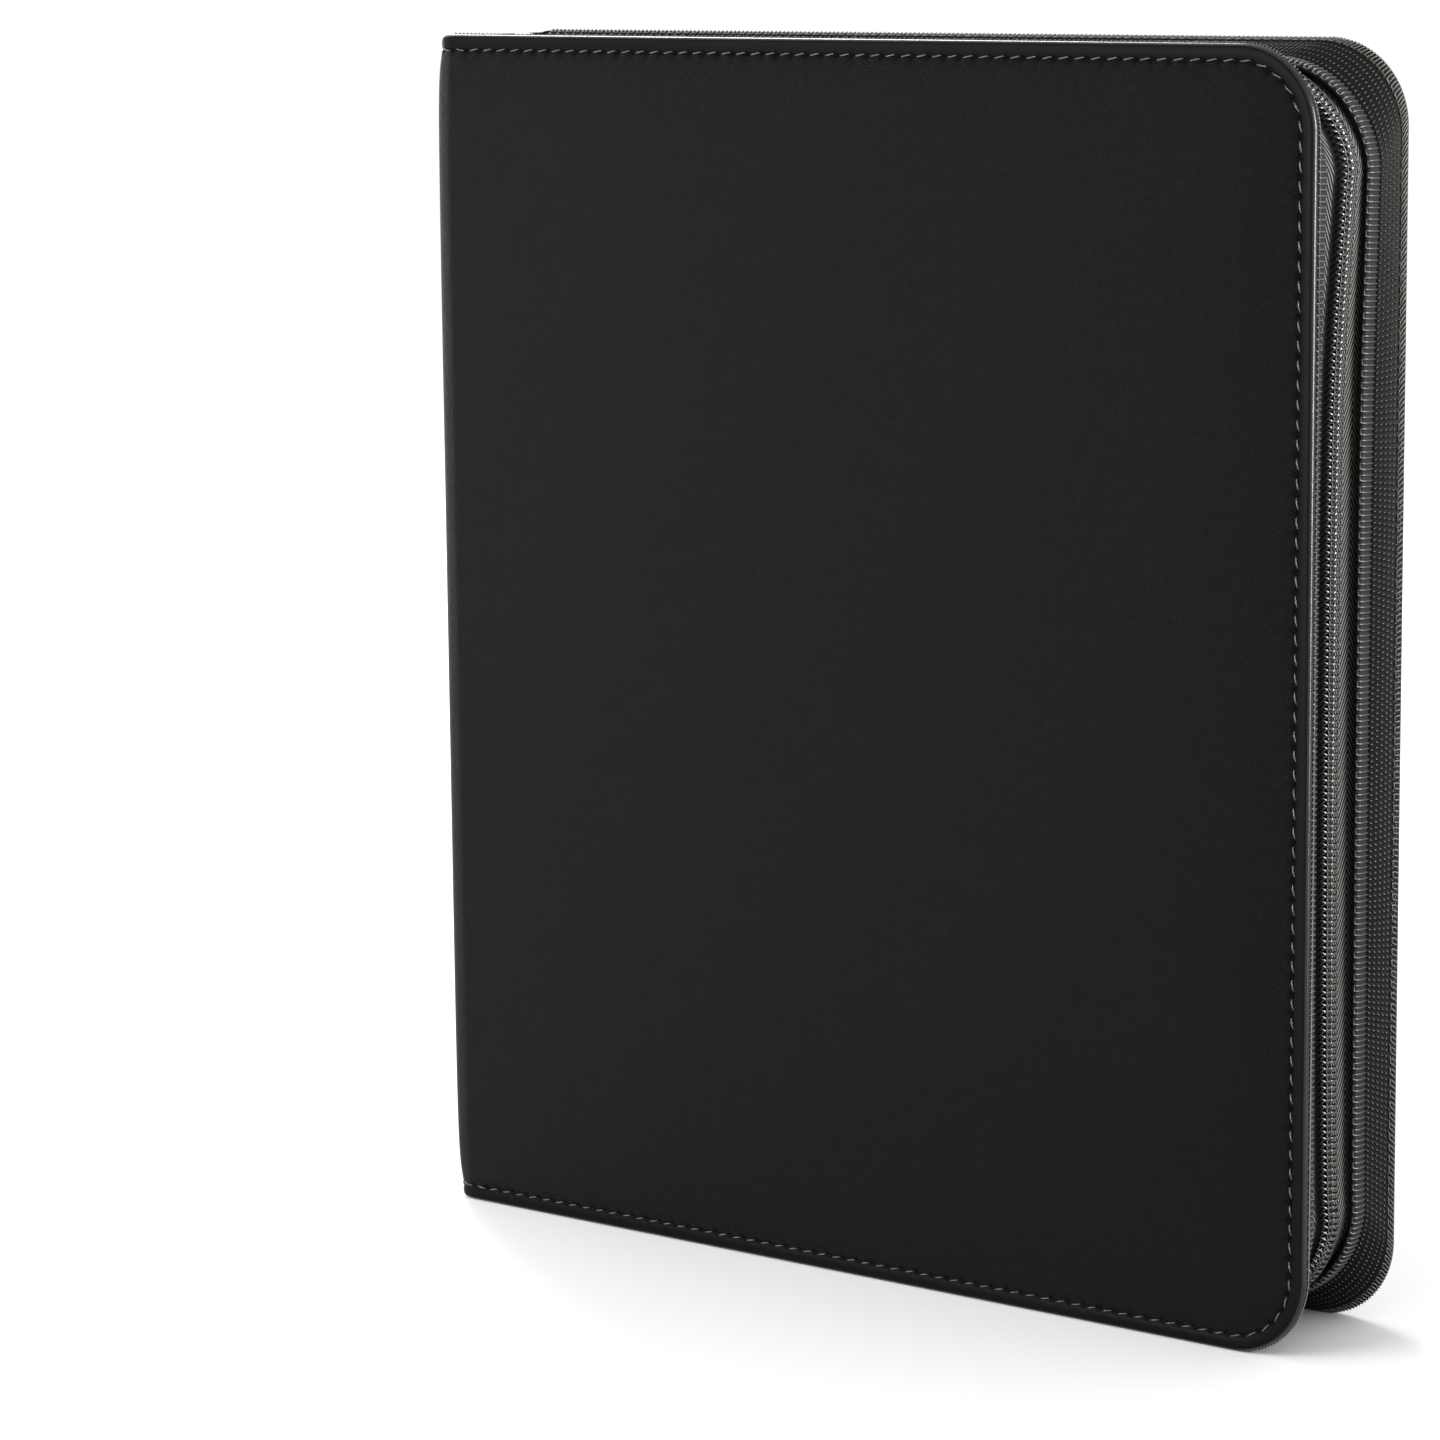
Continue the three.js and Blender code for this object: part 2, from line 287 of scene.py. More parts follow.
def maths(tree, operation, *values):
    return node(tree, "ShaderNodeMath", dict(enumerate(values)), operation=operation).outputs[0]


def mixed(tree, first, share, second, other_share):
    """first * share + second * other_share."""
    part = maths(tree, "MULTIPLY", first, share)
    return maths(tree, "ADD", part, maths(tree, "MULTIPLY", second, other_share))


def humps(tree, value, pitch):
    """A row of round humps from 0 to 1, one each pitch."""
    return maths(tree, "ABSOLUTE", maths(tree, "SINE", maths(tree, "MULTIPLY", value, math.pi / pitch)))


def noise(tree, vector, scale, detail=2.0, roughness=0.5):
    inputs = {"Vector": vector, "Scale": scale, "Detail": detail, "Roughness": roughness}
    return node(tree, "ShaderNodeTexNoise", inputs).outputs["Fac"]


def shade(colour, share):
    return tuple(c * share for c in colour)


def ramp(tree, value, stops):
    """Colour for a value. stops are (position, (r, g, b))."""
    made = node(tree, "ShaderNodeValToRGB", {"Fac": value})
    points = made.color_ramp.elements
    while len(points) < len(stops):
        points.new(0.5)
    for point, (position, colour) in zip(points, stops):
        point.position = position
        point.color = (*colour, 1)
    return made.outputs["Color"]


def spread(tree, value, low, high):
    """A value from 0 to 1 taken to low to high."""
    return node(tree, "ShaderNodeMapRange", {"Value": value, "To Min": low, "To Max": high}).outputs[0]


def bump(tree, height, distance, strength=1.0, under=None):
    inputs = {"Height": height, "Distance": distance, "Strength": strength}
    if under is not None:
        inputs["Normal"] = under
    return node(tree, "ShaderNodeBump", inputs).outputs["Normal"]


def place(tree):
    return node(tree, "ShaderNodeTexCoord").outputs["Object"]


def run_coordinates(tree):
    """(metres along, metres across) from the piece's own map."""
    split = node(tree, "ShaderNodeSeparateXYZ", {0: node(tree, "ShaderNodeUVMap", uv_map="run").outputs[0]})
    return split.outputs[0], split.outputs[1]


def finish(tree, shader, colour, roughness, normal, specular=0.5):
    """Link a shader's colour, roughness and normal, and set how strongly it mirrors."""
    for key, socket in (("Base Color", colour), ("Roughness", roughness), ("Normal", normal)):
        tree.links.new(socket, shader.inputs[key])
    shader.inputs["Specular IOR Level"].default_value = specular


def leather_material(name, colour, roughness, grain, specular):
    """Fine pebbled PU leather: irregular cells about half a millimetre wide, and a slow change of gloss."""
    material, tree, shader = new_material(name)
    where = place(tree)
    wander = node(tree, "ShaderNodeTexNoise", {"Vector": where, "Scale": 900.0}).outputs["Color"]
    bent = node(tree, "ShaderNodeMixRGB", {"Fac": 0.0006, "Color1": where, "Color2": wander}).outputs[0]
    cells = node(tree, "ShaderNodeTexVoronoi", {"Vector": bent, "Scale": 1700.0},
                 feature="DISTANCE_TO_EDGE").outputs["Distance"]
    pebble = maths(tree, "MINIMUM", maths(tree, "MULTIPLY", cells, 3.2), 1.0)
    fine = noise(tree, where, 5200.0, 3.0, 0.6)
    slow = noise(tree, where, 22.0, 3.0, 0.55)
    tone = mixed(tree, slow, 0.45, pebble, 0.35)
    gloss = maths(tree, "ADD", spread(tree, slow, roughness - 0.05, roughness + 0.05),
                  maths(tree, "MULTIPLY", fine, 0.08))
    finish(tree, shader, ramp(tree, tone, [(0.15, shade(colour, 0.72)), (0.75, shade(colour, 1.25))]), gloss,
           bump(tree, mixed(tree, pebble, 0.7, fine, 0.5), grain), specular)
    return material


def weave_material(name, pitch, colour, light, depth, roughness=0.75, sheen=0.0, specular=0.35,
                   knuckled=False):
    """Plain weave on the piece's own map, one thread each pitch, with painted shade between the threads and a
    painted highlight (the light colour) on the raised threads. knuckled paints the highlight on raised
    crossings only.
    """
    material, tree, shader = new_material(name)
    along, across = run_coordinates(tree)
    u = maths(tree, "DIVIDE", along, pitch)
    v = maths(tree, "DIVIDE", across, pitch)
    warp, weft = humps(tree, u, 1.0), humps(tree, v, 1.0)
    crossing = maths(tree, "MULTIPLY", warp, weft)
    cell = maths(tree, "ADD", maths(tree, "FLOOR", u), maths(tree, "FLOOR", v))
    odd = maths(tree, "FLOORED_MODULO", cell, 2.0)
    even = maths(tree, "SUBTRACT", 1.0, odd)
    if knuckled:
        height = maths(tree, "MULTIPLY", maths(tree, "POWER", crossing, 2.5), even)
    else:
        over = mixed(tree, warp, odd, weft, even)
        height = maths(tree, "MULTIPLY", over, maths(tree, "POWER", crossing, 0.35))
    fuzz = noise(tree, place(tree), 4200.0)
    tone = mixed(tree, height, 0.8, fuzz, 0.35)
    # Painted shade and painted highlight: the ramp darkens the gaps between threads and lightens the raised
    # threads.
    finish(tree, shader, ramp(tree, tone, [(0.2, shade(colour, 0.35)), (0.75, colour), (1.0, light)]),
           spread(tree, fuzz, roughness - 0.1, roughness + 0.1),
           bump(tree, height, depth, under=bump(tree, fuzz, 0.00004, 0.6)), specular)
    shader.inputs["Sheen Weight"].default_value = sheen
    shader.inputs["Sheen Roughness"].default_value = 0.4
    return material


def herringbone_material(name, colour, light):
    """Zip tape: slanting ribs that change direction every column, with a painted highlight on the ribs,
    painted shade in the furrows, and painted shade where the coil covers the tape.
    """
    material, tree, shader = new_material(name)
    along, across = run_coordinates(tree)
    column = 3.5 * MM
    rib = 2.0 * MM
    fold = maths(tree, "PINGPONG", across, column)
    slant = maths(tree, "ADD", along, maths(tree, "MULTIPLY", fold, 1.9))
    ridge = maths(tree, "POWER", humps(tree, slant, rib), 1.8)
    fuzz = noise(tree, place(tree), 4600.0)
    height = mixed(tree, ridge, 0.8, fuzz, 0.3)
    # Painted shade: the tape's colour drops to a fifth within 3.2 mm of its edge, where the coil covers it,
    # and comes back to full by 4.2 mm.
    core = node(tree, "ShaderNodeMapRange", {"Value": across, "From Min": 3.2 * MM, "From Max": 4.2 * MM,
                "To Min": 0.2, "To Max": 1.0}).outputs[0]
    tone = maths(tree, "MULTIPLY", height, core)
    # The ramp paints the ribs lighter and the furrows darker: painted highlight and painted shade.
    finish(tree, shader, ramp(tree, tone, [(0.25, shade(colour, 0.2)), (0.6, colour), (1.0, light)]),
           spread(tree, fuzz, 0.6, 0.85), bump(tree, height, 0.00030), 0.12)
    return material


def thread_material(name, colour, roughness, twist=900.0, specular=0.5):
    """Twisted sewing thread."""
    material, tree, shader = new_material(name)
    where = place(tree)
    strands = node(tree, "ShaderNodeTexWave", {"Vector": where, "Scale": twist, "Distortion": 2.0},
                   wave_type="BANDS", bands_direction="DIAGONAL").outputs["Fac"]
    fuzz = noise(tree, where, 5000.0)
    tone = mixed(tree, strands, 0.6, fuzz, 0.4)
    finish(tree, shader, ramp(tree, tone, [(0.1, shade(colour, 0.45)), (0.9, colour)]),
           spread(tree, fuzz, roughness - 0.08, roughness + 0.1), bump(tree, tone, 0.00008, 0.8), specular)
    return material


def nylon_material(name, colour):
    """Moulded nylon monofilament."""
    material, tree, shader = new_material(name)
    haze = noise(tree, place(tree), 1400.0)
    finish(tree, shader, ramp(tree, haze, [(0.2, shade(colour, 0.7)), (0.8, colour)]),
           spread(tree, haze, 0.12, 0.20), bump(tree, haze, 0.00002, 0.5), 1.0)
    return material


def metal_material(name):
    """Bright nickel plate with faint handling marks."""
    material, tree, shader = new_material(name)
    where = place(tree)
    haze = noise(tree, where, 260.0, 4.0, 0.6)
    streaked = node(tree, "ShaderNodeMapping", {"Vector": where, "Scale": (300.0, 4000.0, 4000.0)})
    scratches = noise(tree, streaked.outputs[0], 1.0)
    finish(tree, shader, ramp(tree, haze, [(0.2, (0.27, 0.27, 0.275)), (0.8, (0.40, 0.40, 0.405))]),
           spread(tree, mixed(tree, haze, 0.7, scratches, 0.3), 0.14, 0.34),
           bump(tree, scratches, 0.00001, 0.35))
    shader.inputs["Metallic"].default_value = 1.0
    return material


def film_material(name, colour, dotted):
    """Matte grey pocket film over a black backing. The welds are pressed with rows of dots."""
    material, tree, shader = new_material(name)
    where = place(tree)
    haze = noise(tree, where, 60.0, 3.0, 0.6)
    fine = noise(tree, where, 2600.0)
    long_way = node(tree, "ShaderNodeMapping", {"Vector": where, "Scale": (26.0, 26.0, 70.0),
                    "Rotation": (0.0, 0.35, 0.0)}).outputs[0]
    crease = noise(tree, long_way, 1.0, 3.0, 0.45)
    height = mixed(tree, haze, 0.3, fine, 0.5)
    if dotted:
        columns, rows = [humps(tree, way, 2 * MM) for way in run_coordinates(tree)]
        press = maths(tree, "POWER", maths(tree, "MULTIPLY", columns, maths(tree, "ADD", rows, 0.3)), 2.0)
        height = maths(tree, "SUBTRACT", height, press)
    tone = mixed(tree, haze, 0.6, height, 0.4)
    soft = bump(tree, crease, 0.0016, 0.55)
    finish(tree, shader, ramp(tree, tone, [(0.0, shade(colour, 0.6)), (0.7, colour)]),
           spread(tree, haze, 0.24, 0.38), bump(tree, height, 0.0001, 0.8, soft), 0.45)
    return material


def core_material(name, colour, scale, depth):
    """Foam or greyboard inside the covers."""
    material, tree, shader = new_material(name)
    grain = noise(tree, place(tree), scale, 4.0, 0.65)
    finish(tree, shader, ramp(tree, grain, [(0.3, shade(colour, 0.6)), (0.7, colour)]),
           spread(tree, grain, 0.8, 0.95), bump(tree, grain, depth, 0.8))
    return material


leather = leather_material("leather", (0.0046, 0.0046, 0.0061), 0.36, 0.00028, 0.054)
# The smooth band beside the roll is a darker copy of the leather: its darker colour is painted shade, and its
# finer grain is its own.
shaded_leather_band = leather_material("shaded_leather_band", (0.0030, 0.0028, 0.0036), 0.36, 0.00002, 0.05)
leather_roll = leather_material("leather_roll", (0.0045, 0.0045, 0.0050), 0.22, 0.00001, 0.30)
LEATHERS = [leather, shaded_leather_band, leather_roll]
# The web's light colour is a painted highlight: bright specks on the raised knuckles that stand in for
# glints.
web_cloth = weave_material("web_cloth", 0.7 * MM, (0.006, 0.0057, 0.0054), (0.20, 0.19, 0.17), 0.00015,
                           roughness=0.5, specular=0.10, knuckled=True)
binding_cloth = weave_material("binding_cloth", 0.5 * MM, (0.008, 0.008, 0.008), (0.03, 0.03, 0.03), 0.00010,
                               specular=0.25)
binding_thread = thread_material("binding_thread", (0.040, 0.039, 0.038), 0.28, specular=0.6)
edge_thread = thread_material("edge_thread", (0.060, 0.055, 0.046), 0.42)
tape_cloth = herringbone_material("tape_cloth", (0.014, 0.0135, 0.013), (0.125, 0.119, 0.108))
coil_nylon = nylon_material("coil_nylon", (0.006, 0.006, 0.0065))
stitch_thread = thread_material("stitch_thread", (0.030, 0.029, 0.032), 0.22, 1600.0, 1.0)
lining_cloth = weave_material("lining_cloth", 0.36 * MM, (0.012, 0.0125, 0.015), (0.022, 0.023, 0.028),
                              0.00004, roughness=0.62, sheen=0.05, specular=0.22)
strip_cloth = weave_material("strip_cloth", 0.8 * MM, (0.006, 0.006, 0.006), (0.026, 0.025, 0.024), 0.00020,
                             specular=0.22)
page_cloth = weave_material("page_cloth", 0.7 * MM, (0.005, 0.005, 0.0055), (0.018, 0.018, 0.019), 0.00012,
                            specular=0.2)
page_film = film_material("page_film", (0.070, 0.071, 0.075), False)
page_weld = film_material("page_weld", (0.052, 0.053, 0.056), True)
nickel = metal_material("nickel")
foam_core = core_material("foam_core", (0.16, 0.16, 0.165), 900.0, 0.0002)
board_core = core_material("board_core", (0.20, 0.17, 0.13), 300.0, 0.00005)


# ---------------------------------------------------------------- cover leather

ROLL_RADIUS = 1.4 * MM
GRAINED, BAND, ROLL = 0, 1, 2
# How many faces of the profile, from its turned-in edge, are the glossy roll
ROLL_FACES = 9
PUFF_HEIGHT = 0.20 * MM
PUFF_OVERHANG = 0.33 * MM
HOLE_DEPTH = 0.60 * MM
PUCKER_HEIGHT = 0.035 * MM
ROWS_PER_STITCH = 8


def leather_profile():
    """(inset from the outline, height over the CAD's face), from the turned-in edge to the padded middle."""
    angles = np.linspace(0, math.pi / 2, 9)
    roll = [(ROLL_RADIUS * (1 - math.cos(a)), -ROLL_RADIUS * (1 - math.sin(a))) for a in angles]
    turned = [(1.5 * MM, -2.3 * MM), (0.6 * MM, -2.25 * MM), (0.15 * MM, -2.0 * MM), (0.0, -1.7 * MM)]
    band = [(2.1 * MM, 0.06 * MM), (2.9 * MM, 0.0), (3.5 * MM, -0.12 * MM), (3.8 * MM, -0.3 * MM),
            (4.05 * MM, -0.42 * MM), (4.3 * MM, -0.34 * MM), (4.6 * MM, -0.12 * MM), (5.0 * MM, 0.04 * MM)]
    crown = [(inset * MM, 0.06 * MM + 0.75 * MM * (1 - math.exp(-(inset - 5.0) / 4.0))
              + 0.65 * MM * (1 - math.exp(-(inset - 5.0) / 15.0))) for inset in
             (5.5, 6.2, 7.0, 8.0, 9.2, 10.6, 12.4, 15, 19, 24, 31, 40, 52, 64)]
    return np.array(turned + roll + band + crown)


PROFILE = leather_profile()


def profile_zones():
    """The material of each face across the profile: glossy roll, smooth band, then grained leather."""
    middle = (PROFILE[:-1, 0] + PROFILE[1:, 0]) / 2
    zones = np.where(middle < STITCH_INSET, BAND, GRAINED)
    zones[:ROLL_FACES] = ROLL
    return zones


ZONES = profile_zones()


def stitched(distance, pitch):
    """The leather's profile beside the stitches, for each distance along them: (inset, height) in a grid.
    Between two needle holes it puffs out over the thread, and small puckers run back from the seam."""
    inset = np.broadcast_to(PROFILE[:, 0], (len(distance), len(PROFILE))).copy()
    height = np.broadcast_to(PROFILE[:, 1], inset.shape).copy()
    wave = np.abs(np.sin(math.pi * distance / pitch))[:, None]
    inside = inset > STITCH_INSET
    lobe = np.where(inside, np.exp(-((inset - 4.5 * MM) / (1.3 * MM)) ** 2), 0.0)
    hole = np.exp(-((inset - STITCH_INSET) / (0.5 * MM)) ** 2) * (1 - wave) ** 3
    pucker = np.where(inside, np.exp(-np.abs(inset - 5.6 * MM) / (2.2 * MM)), 0.0)
    slow = np.sin(distance * 410 + np.sin(distance * 97) * 2)[:, None]
    height += PUFF_HEIGHT * lobe * (wave ** 0.7 - 0.35) - HOLE_DEPTH * hole
    height += PUCKER_HEIGHT * pucker * slow
    inset -= PUFF_OVERHANG * lobe * (wave ** 0.7 - 0.4)
    return inset, height


def cover_seam():
    """(pitch, t of each row, distance of each row along the stitches) for a cover's three sewn sides."""
    table_t, distance = run_length(STITCH_INSET, COVER_CORNER, COVER_START)
    total = distance[-1]
    pitch = total / round(total / STITCH_PITCH)
    rows = np.linspace(0, total, int(total / (pitch / ROWS_PER_STITCH)) + 1)
    return pitch, np.interp(rows, distance, table_t), rows


def cover_leather(side):
    pitch, t, distance = cover_seam()
    inset, height = stitched(distance, pitch)
    base = np.maximum(COVER_CORNER, PROFILE[:, 0] + 3 * MM)[None, :]
    points = sweep(t, inset, FACE_Y + height, base, COVER_START)
    slots = np.append(np.tile(ZONES, len(t) - 1), GRAINED)
    points = on_side(points.reshape(-1, 3), side)
    piece = add_mesh(f"{side}_leather", points, panel_faces(*inset.shape), LEATHERS, slots=slots)
    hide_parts(f"{side}_cover_leather")
    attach(piece, f"{side}_cover")


# Where the leather goes on round the spine, from the front cover to the back cover
ARC = HINGE_RADIUS * math.pi / 2
SPINE_FLAT = 2 * (HINGE_Y - BEND_REACH)
ROUND_LENGTH = 4 * BEND_REACH + 2 * ARC + SPINE_FLAT
ROUND_PITCH = ROUND_LENGTH / round(ROUND_LENGTH / STITCH_PITCH)
# The spine's ends lie this far inside the covers' ends, from a start round the bend. It fades inward.
HEAD_DROP = 0.6 * MM
TAIL_DROP = 0.2 * MM
DROP_START = 4 * MM
DROP_FADE = 9 * MM
# The spine's two upright edges are this much softer than the board under them, out to a reach.
SOFT_DEPTH = 0.8 * MM
SOFT_REACH = 5.4 * MM


def round_spine(distance):
    """Place (x, y) and outward direction on the outer face at a distance from the front cover's start."""
    legs = [BEND_REACH, ARC, 2 * BEND_REACH + SPINE_FLAT, ARC, BEND_REACH]
    left = float(distance)
    leg = 0
    while leg < 4 and left > legs[leg]:
        left -= legs[leg]
        leg += 1
    turn = left / HINGE_RADIUS
    if leg == 0:
        return (HINGE_X + BEND_REACH - left, -FACE_Y), (0.0, -1.0)
    if leg == 1:
        out = (-math.sin(turn), -math.cos(turn))
        return (HINGE_X + HINGE_RADIUS * out[0], -HINGE_Y + HINGE_RADIUS * out[1]), out
    if leg == 2:
        return (SPINE_X, -HINGE_Y + left), (-1.0, 0.0)
    if leg == 3:
        out = (-math.cos(turn), math.sin(turn))
        return (HINGE_X + HINGE_RADIUS * out[0], HINGE_Y + HINGE_RADIUS * out[1]), out
    return (HINGE_X + left, FACE_Y), (0.0, 1.0)


def eased(part):
    """0 to 1 with a level start and end."""
    part = min(1.0, max(0.0, part))
    return part * part * (3 - 2 * part)


def end_drop(distance):
    """How much of the drop the spine's head and tail have, inside the covers' ends, at a distance round."""
    into = min(distance, ROUND_LENGTH - distance) - DROP_START
    return eased(into / (BEND_REACH + ARC - DROP_START))


def softened(distance):
    """How far the leather lies inside the sharp line where it turns round the spine's two edges."""
    corner = BEND_REACH + ARC / 2
    away = min(abs(distance - corner), abs(distance - (ROUND_LENGTH - corner)))
    return SOFT_DEPTH * eased(1 - away / SOFT_REACH)


def upright_leather(name, first, last):
    """A strip of leather over the whole height, between two distances round the spine."""
    count = max(3, int(round((last - first) / (ROUND_PITCH / ROWS_PER_STITCH))) + 1)
    stations = np.linspace(first, last, count)
    inset, height = stitched(stations, ROUND_PITCH)
    rows = []
    for station, station_inset, station_height in zip(stations, inset, height):
        (x, y), (out_x, out_y) = round_spine(station)
        drop = end_drop(station) * np.exp(-station_inset / DROP_FADE)
        head = HEIGHT - station_inset - HEAD_DROP * drop
        z = np.concatenate([station_inset + TAIL_DROP * drop, head[::-1]])
        rise = np.concatenate([station_height, station_height[::-1]]) - softened(station)
        rows.append(np.stack([x + out_x * rise, y + out_y * rise, z], axis=-1))
    points = np.array(rows)
    columns = points.shape[1]
    # The glossy roll ends with the front bend. The rest of the spine's edge is as dull as the band and takes
    # its darker colour, which is painted shade.
    edge = ZONES if name == "front_bend" else np.where(ZONES == ROLL, BAND, ZONES)
    zones = np.concatenate([edge, [GRAINED], edge[::-1]])
    return add_mesh(name, points.reshape(-1, 3), grid_faces(count, columns), LEATHERS,
                    slots=np.tile(zones, count - 1))


BEND_LENGTH = 2 * BEND_REACH + ARC


def spine_leathers():
    """The spine's own leather and the two strips that bend between it and the covers."""
    cuts = [0, BEND_LENGTH, ROUND_LENGTH - BEND_LENGTH, ROUND_LENGTH]
    for name, first, last in zip(("front", "spine", "back"), cuts[:-1], cuts[1:]):
        piece = upright_leather(f"{name}_bend" if name != "spine" else "spine_skin", first, last)
        threads = round_stitches(name, first, last)
        for made in (piece, threads):
            if name == "spine":
                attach(made, "spine")
            else:
                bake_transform(made)
        if name == "spine":
            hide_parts("spine_leather")


# ---------------------------------------------------------------- stitches

def capsule(length, radius, rings=6, sides=6):
    """A short thread lying along X, its ends dipping under. Returns points and faces."""
    points = []
    for part in np.linspace(-0.5, 0.5, rings):
        girth = radius * math.sqrt(max(0.0, 1 - (2 * part) ** 4 * 0.8))
        dip = -radius * 2.0 * (2 * part) ** 2
        for k in range(sides):
            a = 2 * math.pi * k / sides
            points.append((part * length, girth * math.cos(a), dip + girth * math.sin(a)))
    return np.array(points), capped_faces(rings, sides)


def scattered(shape, origins, along, across, up):
    """Copies of a small mesh at many places, each with its own three axes. Returns points and faces."""
    points, faces = shape
    placed = (origins[:, None, :] + points[None, :, :1] * along[:, None, :]
              + points[None, :, 1:2] * across[:, None, :] + points[None, :, 2:] * up[:, None, :])
    count = len(points)
    copies = [tuple(int(i) + n * count for i in f) for n in range(len(origins)) for f in faces]
    return placed.reshape(-1, 3), copies


def turned(along, across, angle):
    """The two axes turned in their own plane."""
    c, s = math.cos(angle), math.sin(angle)
    return along * c + across * s, across * c - along * s


STITCH = capsule(3.6 * MM, 0.24 * MM, rings=7)
STITCH_HEIGHT = -0.12 * MM
STITCH_SLANT = math.radians(12)


def cover_stitches(side):
    pitch, _, distance = cover_seam()
    table_t, table = run_length(STITCH_INSET, COVER_CORNER, COVER_START)
    t = np.interp(np.arange(pitch / 2, distance[-1], pitch), table, table_t)
    origins, across = run_line(t, STITCH_INSET, FACE_Y + STITCH_HEIGHT, COVER_CORNER, COVER_START)
    up = np.tile((0.0, 1.0, 0.0), (len(t), 1))
    along, across = turned(np.cross(across, up), across, STITCH_SLANT)
    points, faces = scattered(STITCH, origins, along, across, up)
    piece = add_mesh(f"{side}_stitches", on_side(points, side), faces, stitch_thread)
    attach(piece, f"{side}_cover")


def round_stitches(name, first, last):
    """The stitches at the head and tail between two distances round the spine."""
    origins, along, across, up = [], [], [], []
    for station in np.arange(ROUND_PITCH / 2, ROUND_LENGTH, ROUND_PITCH):
        if not first <= station < last:
            continue
        (x, y), (out_x, out_y) = round_spine(station)
        rise = STITCH_HEIGHT - softened(station)
        drop = end_drop(station) * math.exp(-STITCH_INSET / DROP_FADE)
        for end in (1, -1):
            z = HEIGHT - STITCH_INSET - HEAD_DROP * drop if end > 0 else STITCH_INSET + TAIL_DROP * drop
            origins.append((x + out_x * rise, y + out_y * rise, z))
            up.append((out_x, out_y, 0))
            across.append((0, 0, -end))
            along.append((-out_y * end, out_x * end, 0))
    along, across = turned(np.array(along), np.array(across), STITCH_SLANT)
    points, faces = scattered(STITCH, np.array(origins), along, across, np.array(up))
    return add_mesh(f"{name}_round_stitches", points, faces, stitch_thread)


# ---------------------------------------------------------------- gussets and zip

web_low, web_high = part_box("back_gusset")
rib_low, rib_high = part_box("back_gusset_binding")
GUSSET_START = web_low.x - 0.8 * MM
ZIP_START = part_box("back_zip_coil")[0].x
WEB_CELL = 0.35 * MM
WEB_THICKNESS = 0.8 * MM
KNUCKLE_HEIGHT = 0.16 * MM
FORE_EDGE_SAG = 1.7 * MM
HEAD_BULGE = 2.1 * MM
# The share of the zip's pull that reaches the gusset's inner edge
GUSSET_SHARE = 0.35


def pull(t, side):
    """How far the closed zip draws the soft gusset in from its even line: it sags in along the fore edge and
    bulges out at the head's corner."""
    run = np.asarray(t, float)
    run = run if side == "back" else 5 - run
    sag = FORE_EDGE_SAG * np.sqrt(np.clip(np.sin(math.pi * (run - 2)), 0, 1)) * ((run > 2) & (run < 3))
    reach = np.where(run < 2, 0.32, 0.14)
    return sag - HEAD_BULGE * np.exp(-((run - 2.0) / reach) ** 2)


def web_section():
    """(inset, y) across the woven wall, from the cover's edge in to the binding, and its radius base."""
    across = np.linspace(0, 1, 15)
    inset = (-0.1 + 4.4 * across - 0.35 * np.sin(math.pi * across)) * MM
    y = web_high.y + 0.5 * MM + (rib_high.y - web_high.y - 0.5 * MM) * across
    base = COVER_CORNER + (ZIP_CORNER - COVER_CORNER) * across
    return across, inset, y, base


def gusset(side):
    """Basket-woven wall. Its knuckles stand up in a checkerboard, one grid point on each."""
    across, inset, y, base = web_section()
    t = spaced(WEB_CELL, 2 * MM, ZIP_CORNER, GUSSET_START)
    row = np.arange(len(t))[:, None]
    column = np.arange(len(across))[None, :]
    crossing = (row % 2 == 1) & (column % 2 == 1)
    knuckle = np.where(crossing, np.where((row // 2 + column // 2) % 2 == 0, 1.0, -0.6), 0.0)
    lift = KNUCKLE_HEIGHT * knuckle * (across[None, :] > 0.12)
    draw = pull(t, side)[:, None] * GUSSET_SHARE * across[None, :] ** 2
    shape = inset[None, :] + draw - 0.79 * lift
    outer = sweep(t, shape, y[None, :] - 0.61 * lift, base[None, :], GUSSET_START)
    inner = sweep(t, inset[None, ::-1] + draw[:, ::-1] + WEB_THICKNESS, y[None, ::-1] - 0.2 * MM,
                  base[None, ::-1], GUSSET_START)
    inner = inner[:, ::2]
    points = np.concatenate([outer, inner], axis=1)
    rows, columns = points.shape[:2]
    face_columns = len(across)
    inner_columns = columns - face_columns
    back_cells = np.linspace(face_columns - 1, 0, inner_columns)
    cell = np.concatenate([np.arange(face_columns), back_cells]) * WEB_CELL
    cell_u, cell_v = np.meshgrid(np.arange(rows) * WEB_CELL, cell, indexing="ij")
    uv = np.stack([cell_u, cell_v], axis=-1).reshape(-1, 2)
    piece = add_sweep(f"{side}_web", points, web_cloth, side, uv)
    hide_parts(f"{side}_gusset")
    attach(piece, f"{side}_cover")


def looped_thread(name, side, section, base, pitch, radius, material, weight):
    """One thread that goes to and fro over a section at every stitch, as a blanket stitch does. weight is
    the share of the zip's pull that it follows."""
    stations = spaced(pitch, 4 * MM, ZIP_CORNER, GUSSET_START, pitch / 2)
    steps = len(section)
    inset, y = section[:, 0], section[:, 1]
    t = np.repeat(stations, steps)
    order = np.tile(np.arange(steps), len(stations)).reshape(len(stations), steps)
    order[1::2] = order[1::2, ::-1]
    pick = order.ravel()
    lean = (pick / (steps - 1) - 0.5) * (stations[1] - stations[0]) * 0.25
    t = t + lean
    drawn = inset[pick] + pull(t, side) * weight
    line, inward = run_line(t, drawn, y[pick], base[pick], GUSSET_START)
    turn = np.gradient(y) / (np.hypot(np.gradient(y), np.gradient(inset)) + 1e-12)
    out_flat = np.abs(turn)[pick]
    outward = -inward * out_flat[:, None]
    outward[:, 1] = out_flat - 1
    piece = add_tube(name, line, outward, radius, material, side)
    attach(piece, f"{side}_cover")


